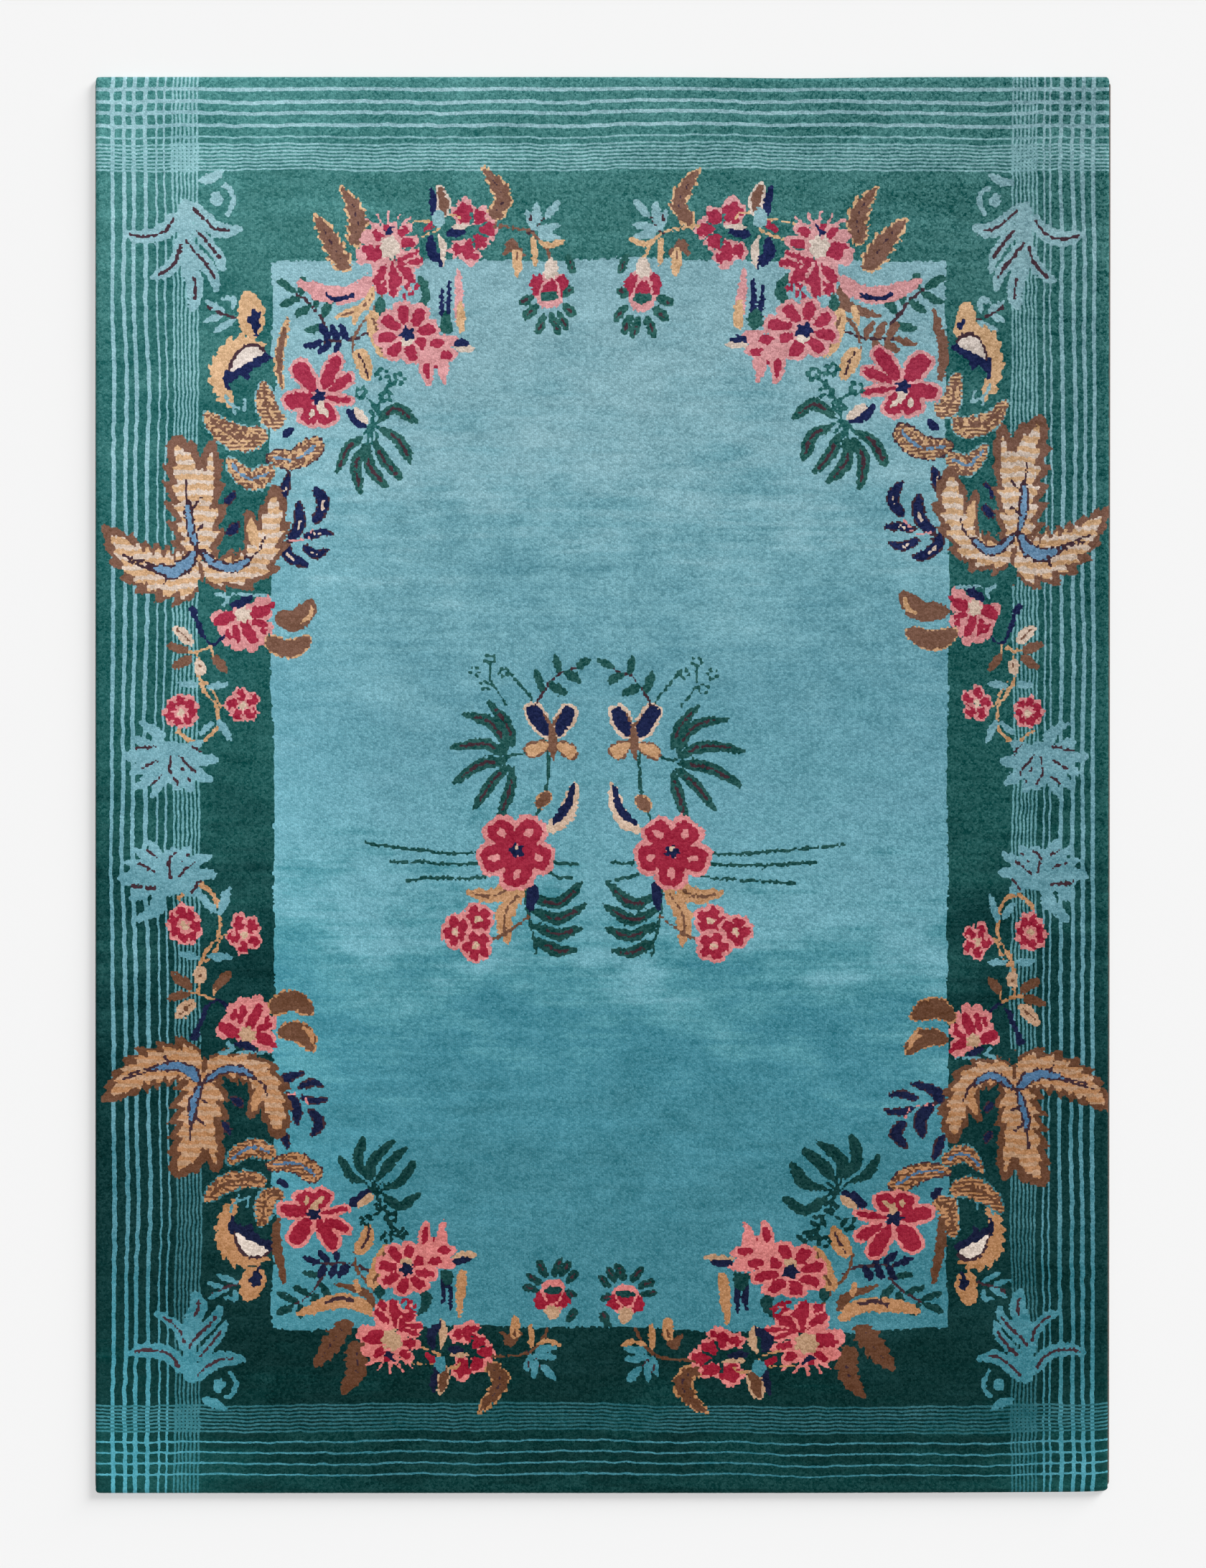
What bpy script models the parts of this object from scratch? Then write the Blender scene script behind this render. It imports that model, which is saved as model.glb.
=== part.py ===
# Hand-knotted wool pile rug with overcast side bindings, laid flat.
# Metres, +Z up, +Y along the length. The origin is on the floor, under the rug's middle.

import math

import bmesh
import bpy

# Driving sizes of the finished rug
WIDTH = 2.000
LENGTH = 2.790
GROUND_THICK = 0.0035
PILE_HEIGHT = 0.0095
CORNER_RADIUS = 0.013

# The cord along each long side, wrapped in wool and sewn on under the edge of the pile
BINDING_DIAMETER = 0.0052
BINDING_END_GAP = 0.012
GAP = 0.0003

# How far the pile stands back from the outline, so that some of the right binding shows from above
BACK_AT_LEFT = 0.0008
BACK_AT_RIGHT = 0.0028
BACK_AT_ENDS = 0.0004

# How the hand-knotted outline strays from a true rectangle
SIDE_DRIFT = 0.0030
END_DIP = 0.0025
END_DIP_AT = 0.38
END_DIP_REACH = 0.16
CORNER_LIFT = 0.0030
CORNER_TRIM = 0.0035

# The rim of the pile, let down from the top face: (distance out from the face, drop below the top)
FACE_INSET = 0.0084
RIM = ((0.0049, 0.0014), (0.0072, 0.0035), (0.0084, 0.0065), (0.0080, 0.0075))

# Mesh steps
LATTICE_STEP = 0.082
CORNER_STATIONS = (0.0, 0.30, 0.62, 1.0)
BINDING_STEPS = 48


def clear_scene():
    for old in list(bpy.data.objects):
        bpy.data.objects.remove(old, do_unlink=True)


def paint(obj, name, colour, roughness):
    material = bpy.data.materials.new(name)
    material.use_nodes = True
    shader = material.node_tree.nodes["Principled BSDF"]
    shader.inputs["Base Color"].default_value = (*colour, 1.0)
    shader.inputs["Roughness"].default_value = roughness
    shader.inputs["Metallic"].default_value = 0.0
    obj.data.materials.append(material)


def drift(x, y):
    """Where a point of the true rectangle lies on the real rug."""
    across = max(x / (WIDTH / 2), 0.0)
    along = y / (LENGTH / 2)
    narrower = SIDE_DRIFT * (1 - along) / 2 * across
    dip = END_DIP * math.exp(-(((x - END_DIP_AT) / END_DIP_REACH) ** 2)) * max(along, 0.0)
    lift = (CORNER_LIFT * across**3 + CORNER_TRIM * across**60) * max(-along, 0.0)
    return x - narrower, y - dip + lift


def round_corner(x, y):
    """Turns the last square of each corner into a quarter disc, ring by ring."""
    inner_x = WIDTH / 2 - CORNER_RADIUS
    inner_y = LENGTH / 2 - CORNER_RADIUS
    out_x = abs(x) - inner_x
    out_y = abs(y) - inner_y
    if out_x <= 0 or out_y <= 0:
        return x, y
    share = max(out_x, out_y) / math.hypot(out_x, out_y)
    return (
        math.copysign(inner_x + out_x * share, x),
        math.copysign(inner_y + out_y * share, y),
    )


def rug_point(x, y, side_inset, end_inset):
    """A point of the true rectangle, drawn in from the sides and the ends and then drifted."""
    x, y = round_corner(x, y)
    return drift(x * (1 - side_inset / (WIDTH / 2)), y * (1 - end_inset / (LENGTH / 2)))


def stations(size):
    """Lattice lines along one side: close together at the corners, evenly spaced between."""
    half = size / 2
    inner = half - CORNER_RADIUS
    corner = [half - CORNER_RADIUS * share for share in CORNER_STATIONS]
    steps = round(2 * inner / LATTICE_STEP)
    middle = [-inner + 2 * inner * i / steps for i in range(1, steps)]
    return [-value for value in corner] + middle + corner[::-1]


def unevenness(x, y):
    """The slow rise and fall of the laid pile, under a millimetre and none at the rim."""
    to_rim = min(WIDTH / 2 - abs(x), LENGTH / 2 - abs(y))
    fade = min(1.0, to_rim / 0.12)
    slow = math.sin(3.1 * x + 1.0) * math.cos(2.3 * y - 0.4)
    quick = math.sin(6.7 * x - 4.9 * y)
    return 0.0006 * fade * (slow + 0.6 * quick)


def pile_point(x, y, inset, height):
    """A point of the pile, drawn in from the pile's own edge."""
    back = BACK_AT_RIGHT if x > 0 else BACK_AT_LEFT
    return (*rug_point(x, y, back + inset, BACK_AT_ENDS + inset), height)


def let_down(bm, border, true_place, place_point):
    """Adds one more ring below the border, and returns the ring's edges as the new border."""
    above = {vertex for edge in border for vertex in edge.verts}
    made = bmesh.ops.extrude_edge_only(bm, edges=border)["geom"]
    ring = {item for item in made if isinstance(item, bmesh.types.BMVert)}
    for vertex in ring:
        neighbours = [edge.other_vert(vertex) for edge in vertex.link_edges]
        source = next(other for other in neighbours if other in above)
        true_place[vertex] = true_place[source]
        vertex.co = place_point(*true_place[vertex])
    edges = [item for item in made if isinstance(item, bmesh.types.BMEdge)]
    return [edge for edge in edges if edge.verts[0] in ring and edge.verts[1] in ring]


def make_rug():
    """One cloth: a lattice for the pile's face, with its rim let down ring by ring to a flat back."""
    across = stations(WIDTH)
    along = stations(LENGTH)
    top = GROUND_THICK + PILE_HEIGHT
    bm = bmesh.new()
    bmesh.ops.create_grid(bm, x_segments=len(across) - 1, y_segments=len(along) - 1, size=1.0)
    true_place = {}
    for vertex in bm.verts:
        column = round((vertex.co.x + 1) / 2 * (len(across) - 1))
        row = round((vertex.co.y + 1) / 2 * (len(along) - 1))
        x, y = across[column], along[row]
        true_place[vertex] = (x, y)
        vertex.co = pile_point(x, y, FACE_INSET, top + unevenness(x, y))

    border = [edge for edge in bm.edges if edge.is_boundary]
    for out, drop in RIM:
        border = let_down(
            bm, border, true_place,
            lambda x, y: pile_point(x, y, FACE_INSET - out, top - drop),
        )

    # The woven ground stops short of each side by its binding's width
    seat = BINDING_DIAMETER + 2 * GAP
    for height in (BINDING_DIAMETER + GAP, 0.0):
        border = let_down(
            bm, border, true_place,
            lambda x, y: (*rug_point(x, y, seat, 0.0016), height),
        )
    bmesh.ops.contextual_create(bm, geom=border)
    bmesh.ops.recalc_face_normals(bm, faces=bm.faces)

    mesh = bpy.data.meshes.new("rug_body")
    bm.to_mesh(mesh)
    bm.free()
    rug = bpy.data.objects.new("rug_body", mesh)
    paint(rug, "wool_pile", (0.19, 0.42, 0.48), 0.95)
    return rug


def make_binding(name, side):
    """A round cord that follows its side from near one end of the rug to near the other."""
    radius = BINDING_DIAMETER / 2
    reach = LENGTH / 2 - BINDING_END_GAP
    curve = bpy.data.curves.new(name, "CURVE")
    curve.dimensions = "3D"
    curve.bevel_depth = radius
    curve.bevel_resolution = 2
    curve.use_fill_caps = True
    spline = curve.splines.new("POLY")
    spline.points.add(BINDING_STEPS)
    for i, point in enumerate(spline.points):
        y = -reach + 2 * reach * i / BINDING_STEPS
        point.co = (*drift(side * (WIDTH / 2 - radius), y), radius, 1.0)
    binding = bpy.data.objects.new(name, curve)
    paint(binding, "binding_wool", (0.13, 0.10, 0.085), 0.9)
    return binding


def main():
    clear_scene()
    collection = bpy.data.collections.new("pile_rug")
    bpy.context.scene.collection.children.link(collection)
    collection.objects.link(make_rug())
    collection.objects.link(make_binding("side_binding_left", -1))
    collection.objects.link(make_binding("side_binding_right", 1))


main()
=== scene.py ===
import bpy
import numpy as np
from mathutils.geometry import delaunay_2d_cdt
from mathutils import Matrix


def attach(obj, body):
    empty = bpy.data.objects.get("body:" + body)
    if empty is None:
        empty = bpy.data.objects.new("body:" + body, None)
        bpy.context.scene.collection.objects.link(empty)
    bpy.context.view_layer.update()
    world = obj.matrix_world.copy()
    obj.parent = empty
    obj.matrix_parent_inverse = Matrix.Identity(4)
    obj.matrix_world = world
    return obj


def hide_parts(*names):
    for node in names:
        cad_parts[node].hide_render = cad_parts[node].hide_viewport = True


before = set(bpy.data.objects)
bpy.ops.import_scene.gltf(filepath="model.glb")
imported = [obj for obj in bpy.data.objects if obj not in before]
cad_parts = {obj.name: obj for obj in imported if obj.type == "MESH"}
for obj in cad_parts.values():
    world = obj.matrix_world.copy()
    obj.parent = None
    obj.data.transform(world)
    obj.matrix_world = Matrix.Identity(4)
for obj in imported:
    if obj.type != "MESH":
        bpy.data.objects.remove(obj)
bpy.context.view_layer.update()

# The pile is hand-knotted wool, cut level and dense. It is drawn here knot by knot, as on a
# weaver's squared chart, and then cut into one piece for each dyed yarn.
# Chart sizes are in centimetres: in the far left quarter, which the others mirror, u runs out from
# the middle line and v on towards the far end.
FIELD, GREEN, ICE, LEAF, RED, PINK, TAN, BROWN, CREAM, NAVY, BLUE, WINE, MIXED, WHITE = range(14)
ACROSS, ALONG = 510, 780
HALF_X, HALF_Y = 100.0, 139.5
KNOT_X, KNOT_Y = 2 * HALF_X / ACROSS, 2 * HALF_Y / ALONG
SEED = 7
random = np.random.default_rng(SEED)


def waves(x, y, size, seed):
    """Six sine waves about `size` long, each in its own direction, added up to about -1 to 1."""
    r = np.random.default_rng(seed)
    total = 0
    for _ in range(6):
        turn, shift = r.uniform(0, 2 * np.pi, 2)
        length = size * r.uniform(0.7, 1.6)
        total = total + np.sin((x * np.cos(turn) + y * np.sin(turn)) * 2 * np.pi / length + shift)
    return total / 2.4


knot_x = (np.arange(ACROSS) + 0.5) * KNOT_X - HALF_X
knot_y = (np.arange(ALONG) + 0.5) * KNOT_Y - HALF_Y
X, Y = np.meshgrid(knot_x, knot_y)
MIDDLE_X, MIDDLE_Y = -1.8, -6.4
RIGHT_HALF = [0, 20.0, 43.6, 70.0, 81.7, 101.9], [0, 20.0, 40.1, 63.6, 77.4, 98.3]
NEAR_HALF = (
    [0, 10.3, 21.6, 43.5, 65.1, 77.8, 89.3, 100.7, 116.6, 133.2],
    [0, 12.8, 21.3, 41.8, 68.2, 83.2, 95.3, 109.6, 127.5, 145.9])
SPARE = 1


def fold_x(x):
    """Distance from the middle line, as it is in the left half. The right half was knotted wider,
    so it is drawn in to match."""
    right = np.interp(x - MIDDLE_X, *RIGHT_HALF)
    return np.where(x > MIDDLE_X, right, MIDDLE_X - x)


def fold_y(y):
    """Distance from the design's own middle, as it is in the far half; the near half was knotted
    closer, so it is stretched to match."""
    near = np.interp(MIDDLE_Y - y, *NEAR_HALF)
    return np.where(y < MIDDLE_Y, near, y - MIDDLE_Y)


# Each line wanders slowly, and each knot on it strays a little on its own.
WANDER, WANDER_SIZE, STRAY_X, STRAY_Y = 0.16, 14, 0.075, 0.115
wander_x = WANDER * waves(X, Y, WANDER_SIZE, 11) + random.normal(0, STRAY_X, X.shape)
wander_y = WANDER * waves(X, Y, WANDER_SIZE, 12) + random.normal(0, STRAY_Y, X.shape)
U = fold_x(X) + wander_x
V = fold_y(Y) + wander_y
S = Y - MIDDLE_Y + wander_y
chart = np.full(X.shape, GREEN, np.int8)

col_u = fold_x(knot_x)
row_v = fold_y(knot_y)
row_s = knot_y - MIDDLE_Y
in_middle = False
offset = np.zeros((4, 2))


def moved(right=(0, 0), low_left=(0, 0), low_right=(0, 0)):
    """Sets how far the next motifs lie out (u) and on (v), in each of the other quarters, from
    their places in the far left one."""
    offset[1:] = right, low_left, low_right


def windows(box):
    """The part of the chart in each quarter that a box of the design covers, and the quarter."""
    u0, u1, v0, v1 = box
    row_at = row_s if in_middle else row_v
    for quarter, (du, dv) in enumerate(offset):
        in_columns = (col_u > u0 + du - SPARE) & (col_u < u1 + du + SPARE)
        in_columns &= (knot_x > MIDDLE_X) == (quarter % 2 == 1)
        in_rows = (row_at > v0 + dv - SPARE) & (row_at < v1 + dv + SPARE)
        in_rows &= (knot_y < MIDDLE_Y) == (quarter > 1)
        c, r = np.nonzero(in_columns)[0], np.nonzero(in_rows)[0]
        if len(c) and len(r):
            yield (slice(r[0], r[-1] + 1), slice(c[0], c[-1] + 1)), quarter


def knot_in(box, shape, yarn):
    """Knots every knot of the box where shape(u, v) is true. Yarn is one colour, or four: far
    left, far right, near left, near right."""
    along = S if in_middle else V
    for window, quarter in windows(box):
        du, dv = offset[quarter]
        here = shape(U[window] - du, along[window] - dv)
        part = chart[window]
        part[here] = yarn[quarter] if isinstance(yarn, tuple) else yarn


def around(points, reach):
    """The box of the points, with that much room on every side."""
    us = [p[0] for p in points]
    vs = [p[1] for p in points]
    return min(us) - reach, max(us) + reach, min(vs) - reach, max(vs) + reach


def smooth(points):
    """A rounded line through the points. Each span is a Catmull-Rom cubic: its ends are two
    points, and its slope at each is half the step between that point's neighbours."""
    pts = np.array(points, float)
    if len(pts) < 3:
        return pts
    ends = np.vstack([2 * pts[0] - pts[1], pts, 2 * pts[-1] - pts[-2]])
    t = np.linspace(0, 1, 6)[:-1, None]
    spans = [
        0.5 * (
            2 * b + (c - a) * t + (2 * a - 5 * b + 4 * c - d) * t**2
            + (3 * b - a - 3 * c + d) * t**3)
        for a, b, c, d in zip(ends, ends[1:], ends[2:], ends[3:])
    ]
    return np.vstack([*spans, pts[-1:]])


def follow(points, u, v):
    """How far along the line each knot is (0 to 1, beyond 1 past its tip), and how far to its
    side, from the nearest of the line's straight runs; and the line's length."""
    run = np.diff(points, axis=0)
    long = np.hypot(run[:, 0], run[:, 1])
    total = long.sum()
    start = np.concatenate([[0], np.cumsum(long)])
    best = np.full(u.shape, 1e9)
    s = np.zeros(u.shape)
    side = np.zeros(u.shape)
    last = len(run) - 1
    for i, (a, r, l) in enumerate(zip(points, run, long)):
        t = ((u - a[0]) * r[0] + (v - a[1]) * r[1]) / l**2
        t = np.clip(t, -9 if i == 0 else 0, 9 if i == last else 1)
        inside = np.clip(t, 0, 1)
        away = np.hypot(u - a[0] - inside * r[0], v - a[1] - inside * r[1])
        nearer = away < best
        best = np.where(nearer, away, best)
        s = np.where(nearer, (start[i] + t * l) / total, s)
        turn = ((v - a[1]) * r[0] - (u - a[0]) * r[1]) / l
        beside = (t >= 0) & (t <= 1)
        hand = np.where(np.abs(turn) > 0, np.sign(turn), 1)
        side = np.where(nearer, hand * np.where(beside, away, np.abs(turn)), side)
    return s, side, total


def leaf(
        points, width, yarn, belly=0.45, point=1.0, teeth=0, bite=0.3, rim=None, rim_width=0.55,
        vein=None, vein_span=(0.12, 0.86), vein_width=0.52, fleck=False,
        streak=None, wave=1.25, thin=0.1):
    """A leaf along its points, base first. At the share s of its length its half-width is the
    widest times (s/belly)^p ((1-s)/(1-belly))^q, where p + q is the point: the greater, the
    sharper its ends. Teeth cut back into it. Streaks cross it level, one in each wave."""
    spine = smooth(points)
    p, q = point * belly, point * (1 - belly)
    inset = 0 if rim is None else rim_width

    def measure(u, v):
        """How far out of the leaf each knot is (negative inside), its share s and its side."""
        s, side, total = follow(spine, u, v)
        c = np.clip(s, 0.001, 0.999)
        half = width / 2 * (c / belly) ** p * ((1 - c) / (1 - belly)) ** q
        if teeth:
            half = half * (1 - bite * ((0.4 * (side > 0) - c * teeth) % 1.0))
        outside = np.maximum(-s, s - 1) * total
        return np.maximum(np.abs(side) - half, outside), s, side

    box = around(spine, width / 2)
    knot_in(box, lambda u, v: measure(u, v)[0] < 0, yarn if rim is None else rim)
    if rim is not None:
        knot_in(box, lambda u, v: measure(u, v)[0] < -rim_width, yarn)
    if streak is not None:
        def courses(u, v):
            level = np.sin(v * 2 * np.pi / wave + 0.5 * np.sin(u * 0.7))
            return (measure(u, v)[0] < -inset) & (level > thin)
        knot_in(box, courses, streak)
    if vein is not None:
        def along_middle(u, v):
            d, s, side = measure(u, v)
            drawn = (np.abs(side) < vein_width / 2) & (s > vein_span[0]) & (s < vein_span[1])
            return drawn & (d < -0.05) & (np.sin(s * 40) > -0.2 if fleck else True)
        knot_in(box, along_middle, vein)


def line(points, width, yarn):
    """A stem: all that lies within half its width of the rounded line, with blunt ends."""
    spine = smooth(points)
    blunt = 0.2

    def shape(u, v):
        s, side, total = follow(spine, u, v)
        return (np.abs(side) < width / 2) & (s > -blunt / total) & (s < 1 + blunt / total)

    knot_in(around(spine, width), shape, yarn)


def spot(centre, radius, yarn, tall=1.0, turn=0.0, ragged=0.0, lobes=7):
    """A disc, stretched `tall` times upwards and then turned. Its radius swells and shrinks with
    the cosine of the angle times the lobes."""
    def shape(u, v):
        a = (u - centre[0]) * np.cos(turn) + (v - centre[1]) * np.sin(turn)
        b = ((v - centre[1]) * np.cos(turn) - (u - centre[0]) * np.sin(turn)) / tall
        return np.hypot(a, b) < radius * (1 + ragged * np.cos(lobes * np.arctan2(b, a) + turn * 3))

    knot_in(around([centre], radius * max(tall, 1) * (1 + ragged)), shape, yarn)


def leaves(yarn, *shapes, **look):
    """A leaf for each shape, which is its width and then the points of its middle line."""
    for width, *points in shapes:
        leaf(points, width, yarn, **look)


def lines(width, yarn, *paths):
    """A stem for each path."""
    for points in paths:
        line(points, width, yarn)


def spots(yarn, *shapes, **look):
    """A disc for each shape, which is its centre and its radius."""
    for centre, radius in shapes:
        spot(centre, radius, yarn, **look)


def polar(centre, distance, degrees):
    """The point at that distance and compass turn: 0 is on (v), 90 is out (u)."""
    a = np.radians(degrees)
    return centre[0] + distance * np.sin(a), centre[1] + distance * np.cos(a)


def petals(centre, yarn, *shapes, **look):
    """A petal for each shape: its compass turn, how far out it starts and ends, and its width."""
    for turn, near, far, width in shapes:
        leaf([polar(centre, near, turn), polar(centre, far, turn)], width, yarn, **look)


def blossom(
        centre, radius, count, heart, turn, wide, heart_size, edge_width, start=0.24,
        glint=None, throat=None):
    """A ring of crimson petals, a step apart, each as wide as that share of its chord, with a rose
    edge round it; and a heart."""
    step = 360 / count
    width = 2 * np.sin(np.radians(step / 2)) * radius * wide
    for k in range(count):
        way = turn + k * step
        ends = [polar(centre, radius * 0.05, way), polar(centre, radius + edge_width, way)]
        leaf(ends, width + 2.4 * edge_width, PINK, belly=0.62, point=0.7)
    for k in range(count):
        way = turn + k * step
        ends = [polar(centre, radius * start, way), polar(centre, radius, way)]
        leaf(ends, width, RED, belly=0.6, point=0.6)
        if glint is not None:
            ends = [polar(centre, radius * 0.5, way + 4), polar(centre, radius * 0.82, way - 4)]
            leaf(ends, width * 0.28, glint)
    if throat is not None:
        spot(polar(centre, radius * 0.26, 180), radius * 0.2, throat)
    spot(centre, radius * heart_size, heart, ragged=0.25, lobes=5)


FIELD_U, FIELD_V = 63.46, 109.6
knot_in((0, FIELD_U, 0, FIELD_V), lambda u, v: (u < FIELD_U) & (v < FIELD_V), FIELD)


# The straight lines of the borders.
def stripe(upright, places, knots, pitch, yarn):
    """Straight lines, so many knots wide, at their distances in from the left or near edge, and
    then from the right or far one."""
    count = ACROSS if upright else ALONG
    for far in (0, 1):
        for at in places[far]:
            for k in range(knots):
                index = int(round(at / pitch - knots / 2)) + k
                index = count - 1 - index if far else index
                (chart[:, index] if upright else chart[index])[:] = yarn


stripe(True, ((3.5, 5.9, 7.85, 10.2), (3.1, 5.1, 7.06, 9.4)), 2, KNOT_X, ICE)
stripe(True, ((12.35, 13.9), (11.5, 12.7)), 1, KNOT_X, ICE)
fine_columns, fine_rows = 2 * KNOT_X * np.arange(7), 2 * KNOT_Y * np.arange(8)
stripe(True, (15.5 + fine_columns, 14.35 + fine_columns), 1, KNOT_X, MIXED)
stripe(False, ((), (2.5, 5.0, 7.16, 9.63)), 2, KNOT_Y, ICE)
stripe(False, ((3.77, 5.96, 8.13, 10.15), ()), 1, KNOT_Y, ICE)
stripe(False, ((12.2,), (11.9,)), 1, KNOT_Y, MIXED)
stripe(False, (13.05 + fine_rows[:7], 13.26 + fine_rows), 1, KNOT_Y, MIXED)


def flip(far, near):
    """One yarn for both far quarters, and one for both near ones."""
    return (far, far, near, near)


# Corner lilies.
def frond(points, width, span):
    """A pale leaf whose wine vein runs over that span of it."""
    leaf(points, width, ICE, vein=WINE, point=0.85, vein_span=span, vein_width=0.6)


moved(right=(0.5, -0.4), low_left=(-0.4, 0), low_right=(1.1, 0))
spot((80.4, 117.8), 1.7, ICE, tall=2.4)
spot((80.6, 113.3), 1.8, ICE, tall=1.4)
frond([(82.1, 119.2), (84.1, 115.7), (88.1, 114.1), (92.4, 114.8)], 3.2, span=(0.08, 0.92))
frond([(81.0, 114.1), (82.0, 110.5), (83.8, 107.9), (87.2, 105.9)], 2.5, span=(0.1, 0.82))
frond([(80.7, 111.3), (79.0, 106.5), (78.4, 103.4), (79.3, 100.0)], 3.6, span=(0.4, 0.8))
frond([(80.8, 114.0), (77.9, 110.5), (75.3, 107.6), (74.1, 103.7)], 2.7, span=(0.02, 0.78))
frond([(79.6, 117.0), (76.5, 113.7), (74.2, 111.0), (72.9, 107.6)], 2.4, span=(0.14, 0.76))
frond([(79.9, 121.2), (76.7, 117.8), (73.4, 115.8), (69.1, 116.3)], 3.4, span=(0.1, 0.8))
leaf([(77.9, 125.4), (74.9, 126.0), (72.6, 127.4)], 1.9, ICE)
spot((74.2, 121.8), 1.25, ICE)
line([(72.8, 124.6), (71.4, 123.7), (70.8, 121.5), (72.2, 118.8)], 1.0, ICE)
leaves(ICE, (1.2, (75.3, 122.6), (73.6, 123.2)), (1.3, (72.5, 99.7), (76.5, 102.1)),
    (1.2, (71.1, 99.7), (71.0, 102.1), (73.6, 101.8)), (1.3, (72.8, 99.4), (76.9, 97.9)),
    (1.3, (70.2, 98.7), (72.2, 97.3), (75.1, 96.2)))
line([(75.9, 100.7), (72.8, 99.3), (69.4, 98.2)], 0.5, WINE)

# Tan bud and lotus pod.
moved(right=(0.4, -1.7), low_left=(-0.3, -0.4), low_right=(0.5, 0.6))
leaf([(67.0, 95.1), (67.4, 98.0), (68.4, 103.4)], 5.4, TAN, belly=0.4, teeth=4, bite=0.14,
    point=0.9)
spot((66.9, 97.9), 1.15, NAVY, tall=1.5, ragged=0.22, lobes=5)
line([(66.9, 96.6), (66.4, 94.9)], 0.7, NAVY)
moved(right=(1.1, 2.2), low_left=(-0.5, -0.4), low_right=(1.7, 0.4))
pod = (68.8, 87.7)


def oval(u, v, shift_u, shift_v, wide, tall):
    """Distance from the shifted middle of the pod: 1 on the oval of that half width and height."""
    return np.hypot((u - pod[0] - shift_u) / wide, (v - pod[1] - shift_v) / tall)


def over_slant(u, v):
    """Height over a line that slants through the pod's middle."""
    return v - pod[1] - 0.55 * (pod[0] - u)


def hollow(u, v):
    """Inside the oval, under the slant."""
    return (oval(u, v, -1.5, -0.9, 4.7, 6.0) < 1) & (over_slant(u, v) < 1.2)


def husk(u, v):
    """A toothed crescent: each 19 degrees its edge steps back by 0.15 of its reach."""
    angle = np.degrees(np.arctan2(u - pod[0], v - pod[1]))
    toothed = 1.0 - 0.15 * ((angle / 19) % 1)
    outer = (oval(u, v, 0.4, 0, 6.8, 8.1) < toothed) & (oval(u, v, -1.5, -0.9, 4.5, 5.9) > 1)
    return outer & (angle > -40) & (angle < 160)


def kernel(u, v):
    """Inside the oval, over the slant."""
    return (oval(u, v, -1.4, -0.6, 4.5, 6.0) < 1) & (over_slant(u, v) > 1.4)


def kernel_edge(u, v):
    """The outer tenth of the oval, over the slant."""
    far = oval(u, v, -1.5, -0.6, 4.6, 6.3)
    return (far < 1.02) & (far > 0.9) & (over_slant(u, v) > 1.4)


def mouth(u, v):
    """A band along the slant, as wide as the oval."""
    return (oval(u, v, -1.5, -0.9, 5.0, 6.0) < 1) & (np.abs(over_slant(u, v) - 0.5) < 0.95)


for shape, yarn in (
        (hollow, GREEN), (husk, TAN), (kernel, WHITE), (kernel_edge, WINE), (mouth, NAVY)):
    knot_in(around([pod], 9), shape, yarn)
line([(72.2, 88.1), (72.4, 86.1), (72.1, 84.5)], 0.9, NAVY)
leaf([(69.1, 89.3), (68.1, 86.1)], 2.2, NAVY, teeth=3)
line([(72.5, 83.6), (71.4, 81.6), (68.5, 80.2)], 0.6, ICE)
lines(0.5, ICE, [(71.4, 81.6), (70.7, 79.6)], [(68.8, 82.5), (68.7, 80.8)])

# Striped leaves.
moved(right=(0.8, 2.3), low_left=(0.4, 0.6), low_right=(-0.2, 3.4))
TWO_ROWS = 0.7154


def winged(points, width, vein, rim):
    """A leaf striped tan and brown, a row of knots each."""
    leaf(
        points, width, flip(TAN, BROWN), belly=0.4, point=0.8, teeth=6, bite=0.14,
        rim=rim, rim_width=0.3, vein=vein, vein_width=0.5,
        streak=flip(BROWN, TAN), wave=TWO_ROWS, thin=-0.1)


winged([(60.6, 77.9), (63.7, 79.1), (65.3, 85.9)], 5.0, BROWN, ICE)
winged([(64.0, 75.7), (68.1, 74.6), (73.1, 76.3), (77.0, 80.2)], 5.6, BROWN, MIXED)
winged([(53.6, 74.6), (58.7, 70.6), (64.3, 71.2)], 5.2, BLUE, WINE)
winged([(62.3, 68.9), (66.6, 66.9), (69.5, 68.1), (72.2, 71.4)], 4.9, BLUE, MIXED)

# Thin leaf and twigs.
moved(right=(0.8, 2.0), low_left=(0.5, 0), low_right=(0.4, 0))
leaf([(61.6, 84.3), (62.0, 90.4), (60.4, 98.6)], 2.3, BROWN, teeth=7, bite=0.24,
    rim=(TAN, BROWN, BROWN, BROWN), rim_width=0.34)
moved(right=(1.2, 0.6), low_left=(0.2, 0), low_right=(0.4, 0))
line([(60.6, 104.8), (57.5, 102.8), (55.3, 100.6), (52.6, 96.6)], 0.55, WINE)
for base, tip in (((58.4, 103.4), (62.3, 105.9)), ((57.8, 102.8), (62.0, 100.6)),
        ((57.5, 103.1), (57.0, 106.8)), ((55.5, 101.1), (58.9, 98.9)),
        ((54.4, 100.3), (54.6, 104.2)), ((53.3, 98.3), (51.6, 102.0)),
        ((52.7, 96.6), (57.0, 95.8))):
    leaf([base, tip], 1.7, LEAF, belly=0.55)
line([(44.5, 95.5), (47.6, 94.1), (53.3, 93.8)], 0.55, WINE)
for base, tip in (((52.3, 93.9), (53.7, 97.2)), ((50.3, 93.9), (51.6, 97.2)),
        ((48.3, 93.9), (49.8, 97.2)), ((53.3, 93.9), (57.1, 92.5)), ((51.6, 93.6), (54.1, 91.1)),
        ((49.9, 93.6), (50.9, 91.0))):
    leaf([base, tip], 1.5, (NAVY, BROWN, NAVY, NAVY))

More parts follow.
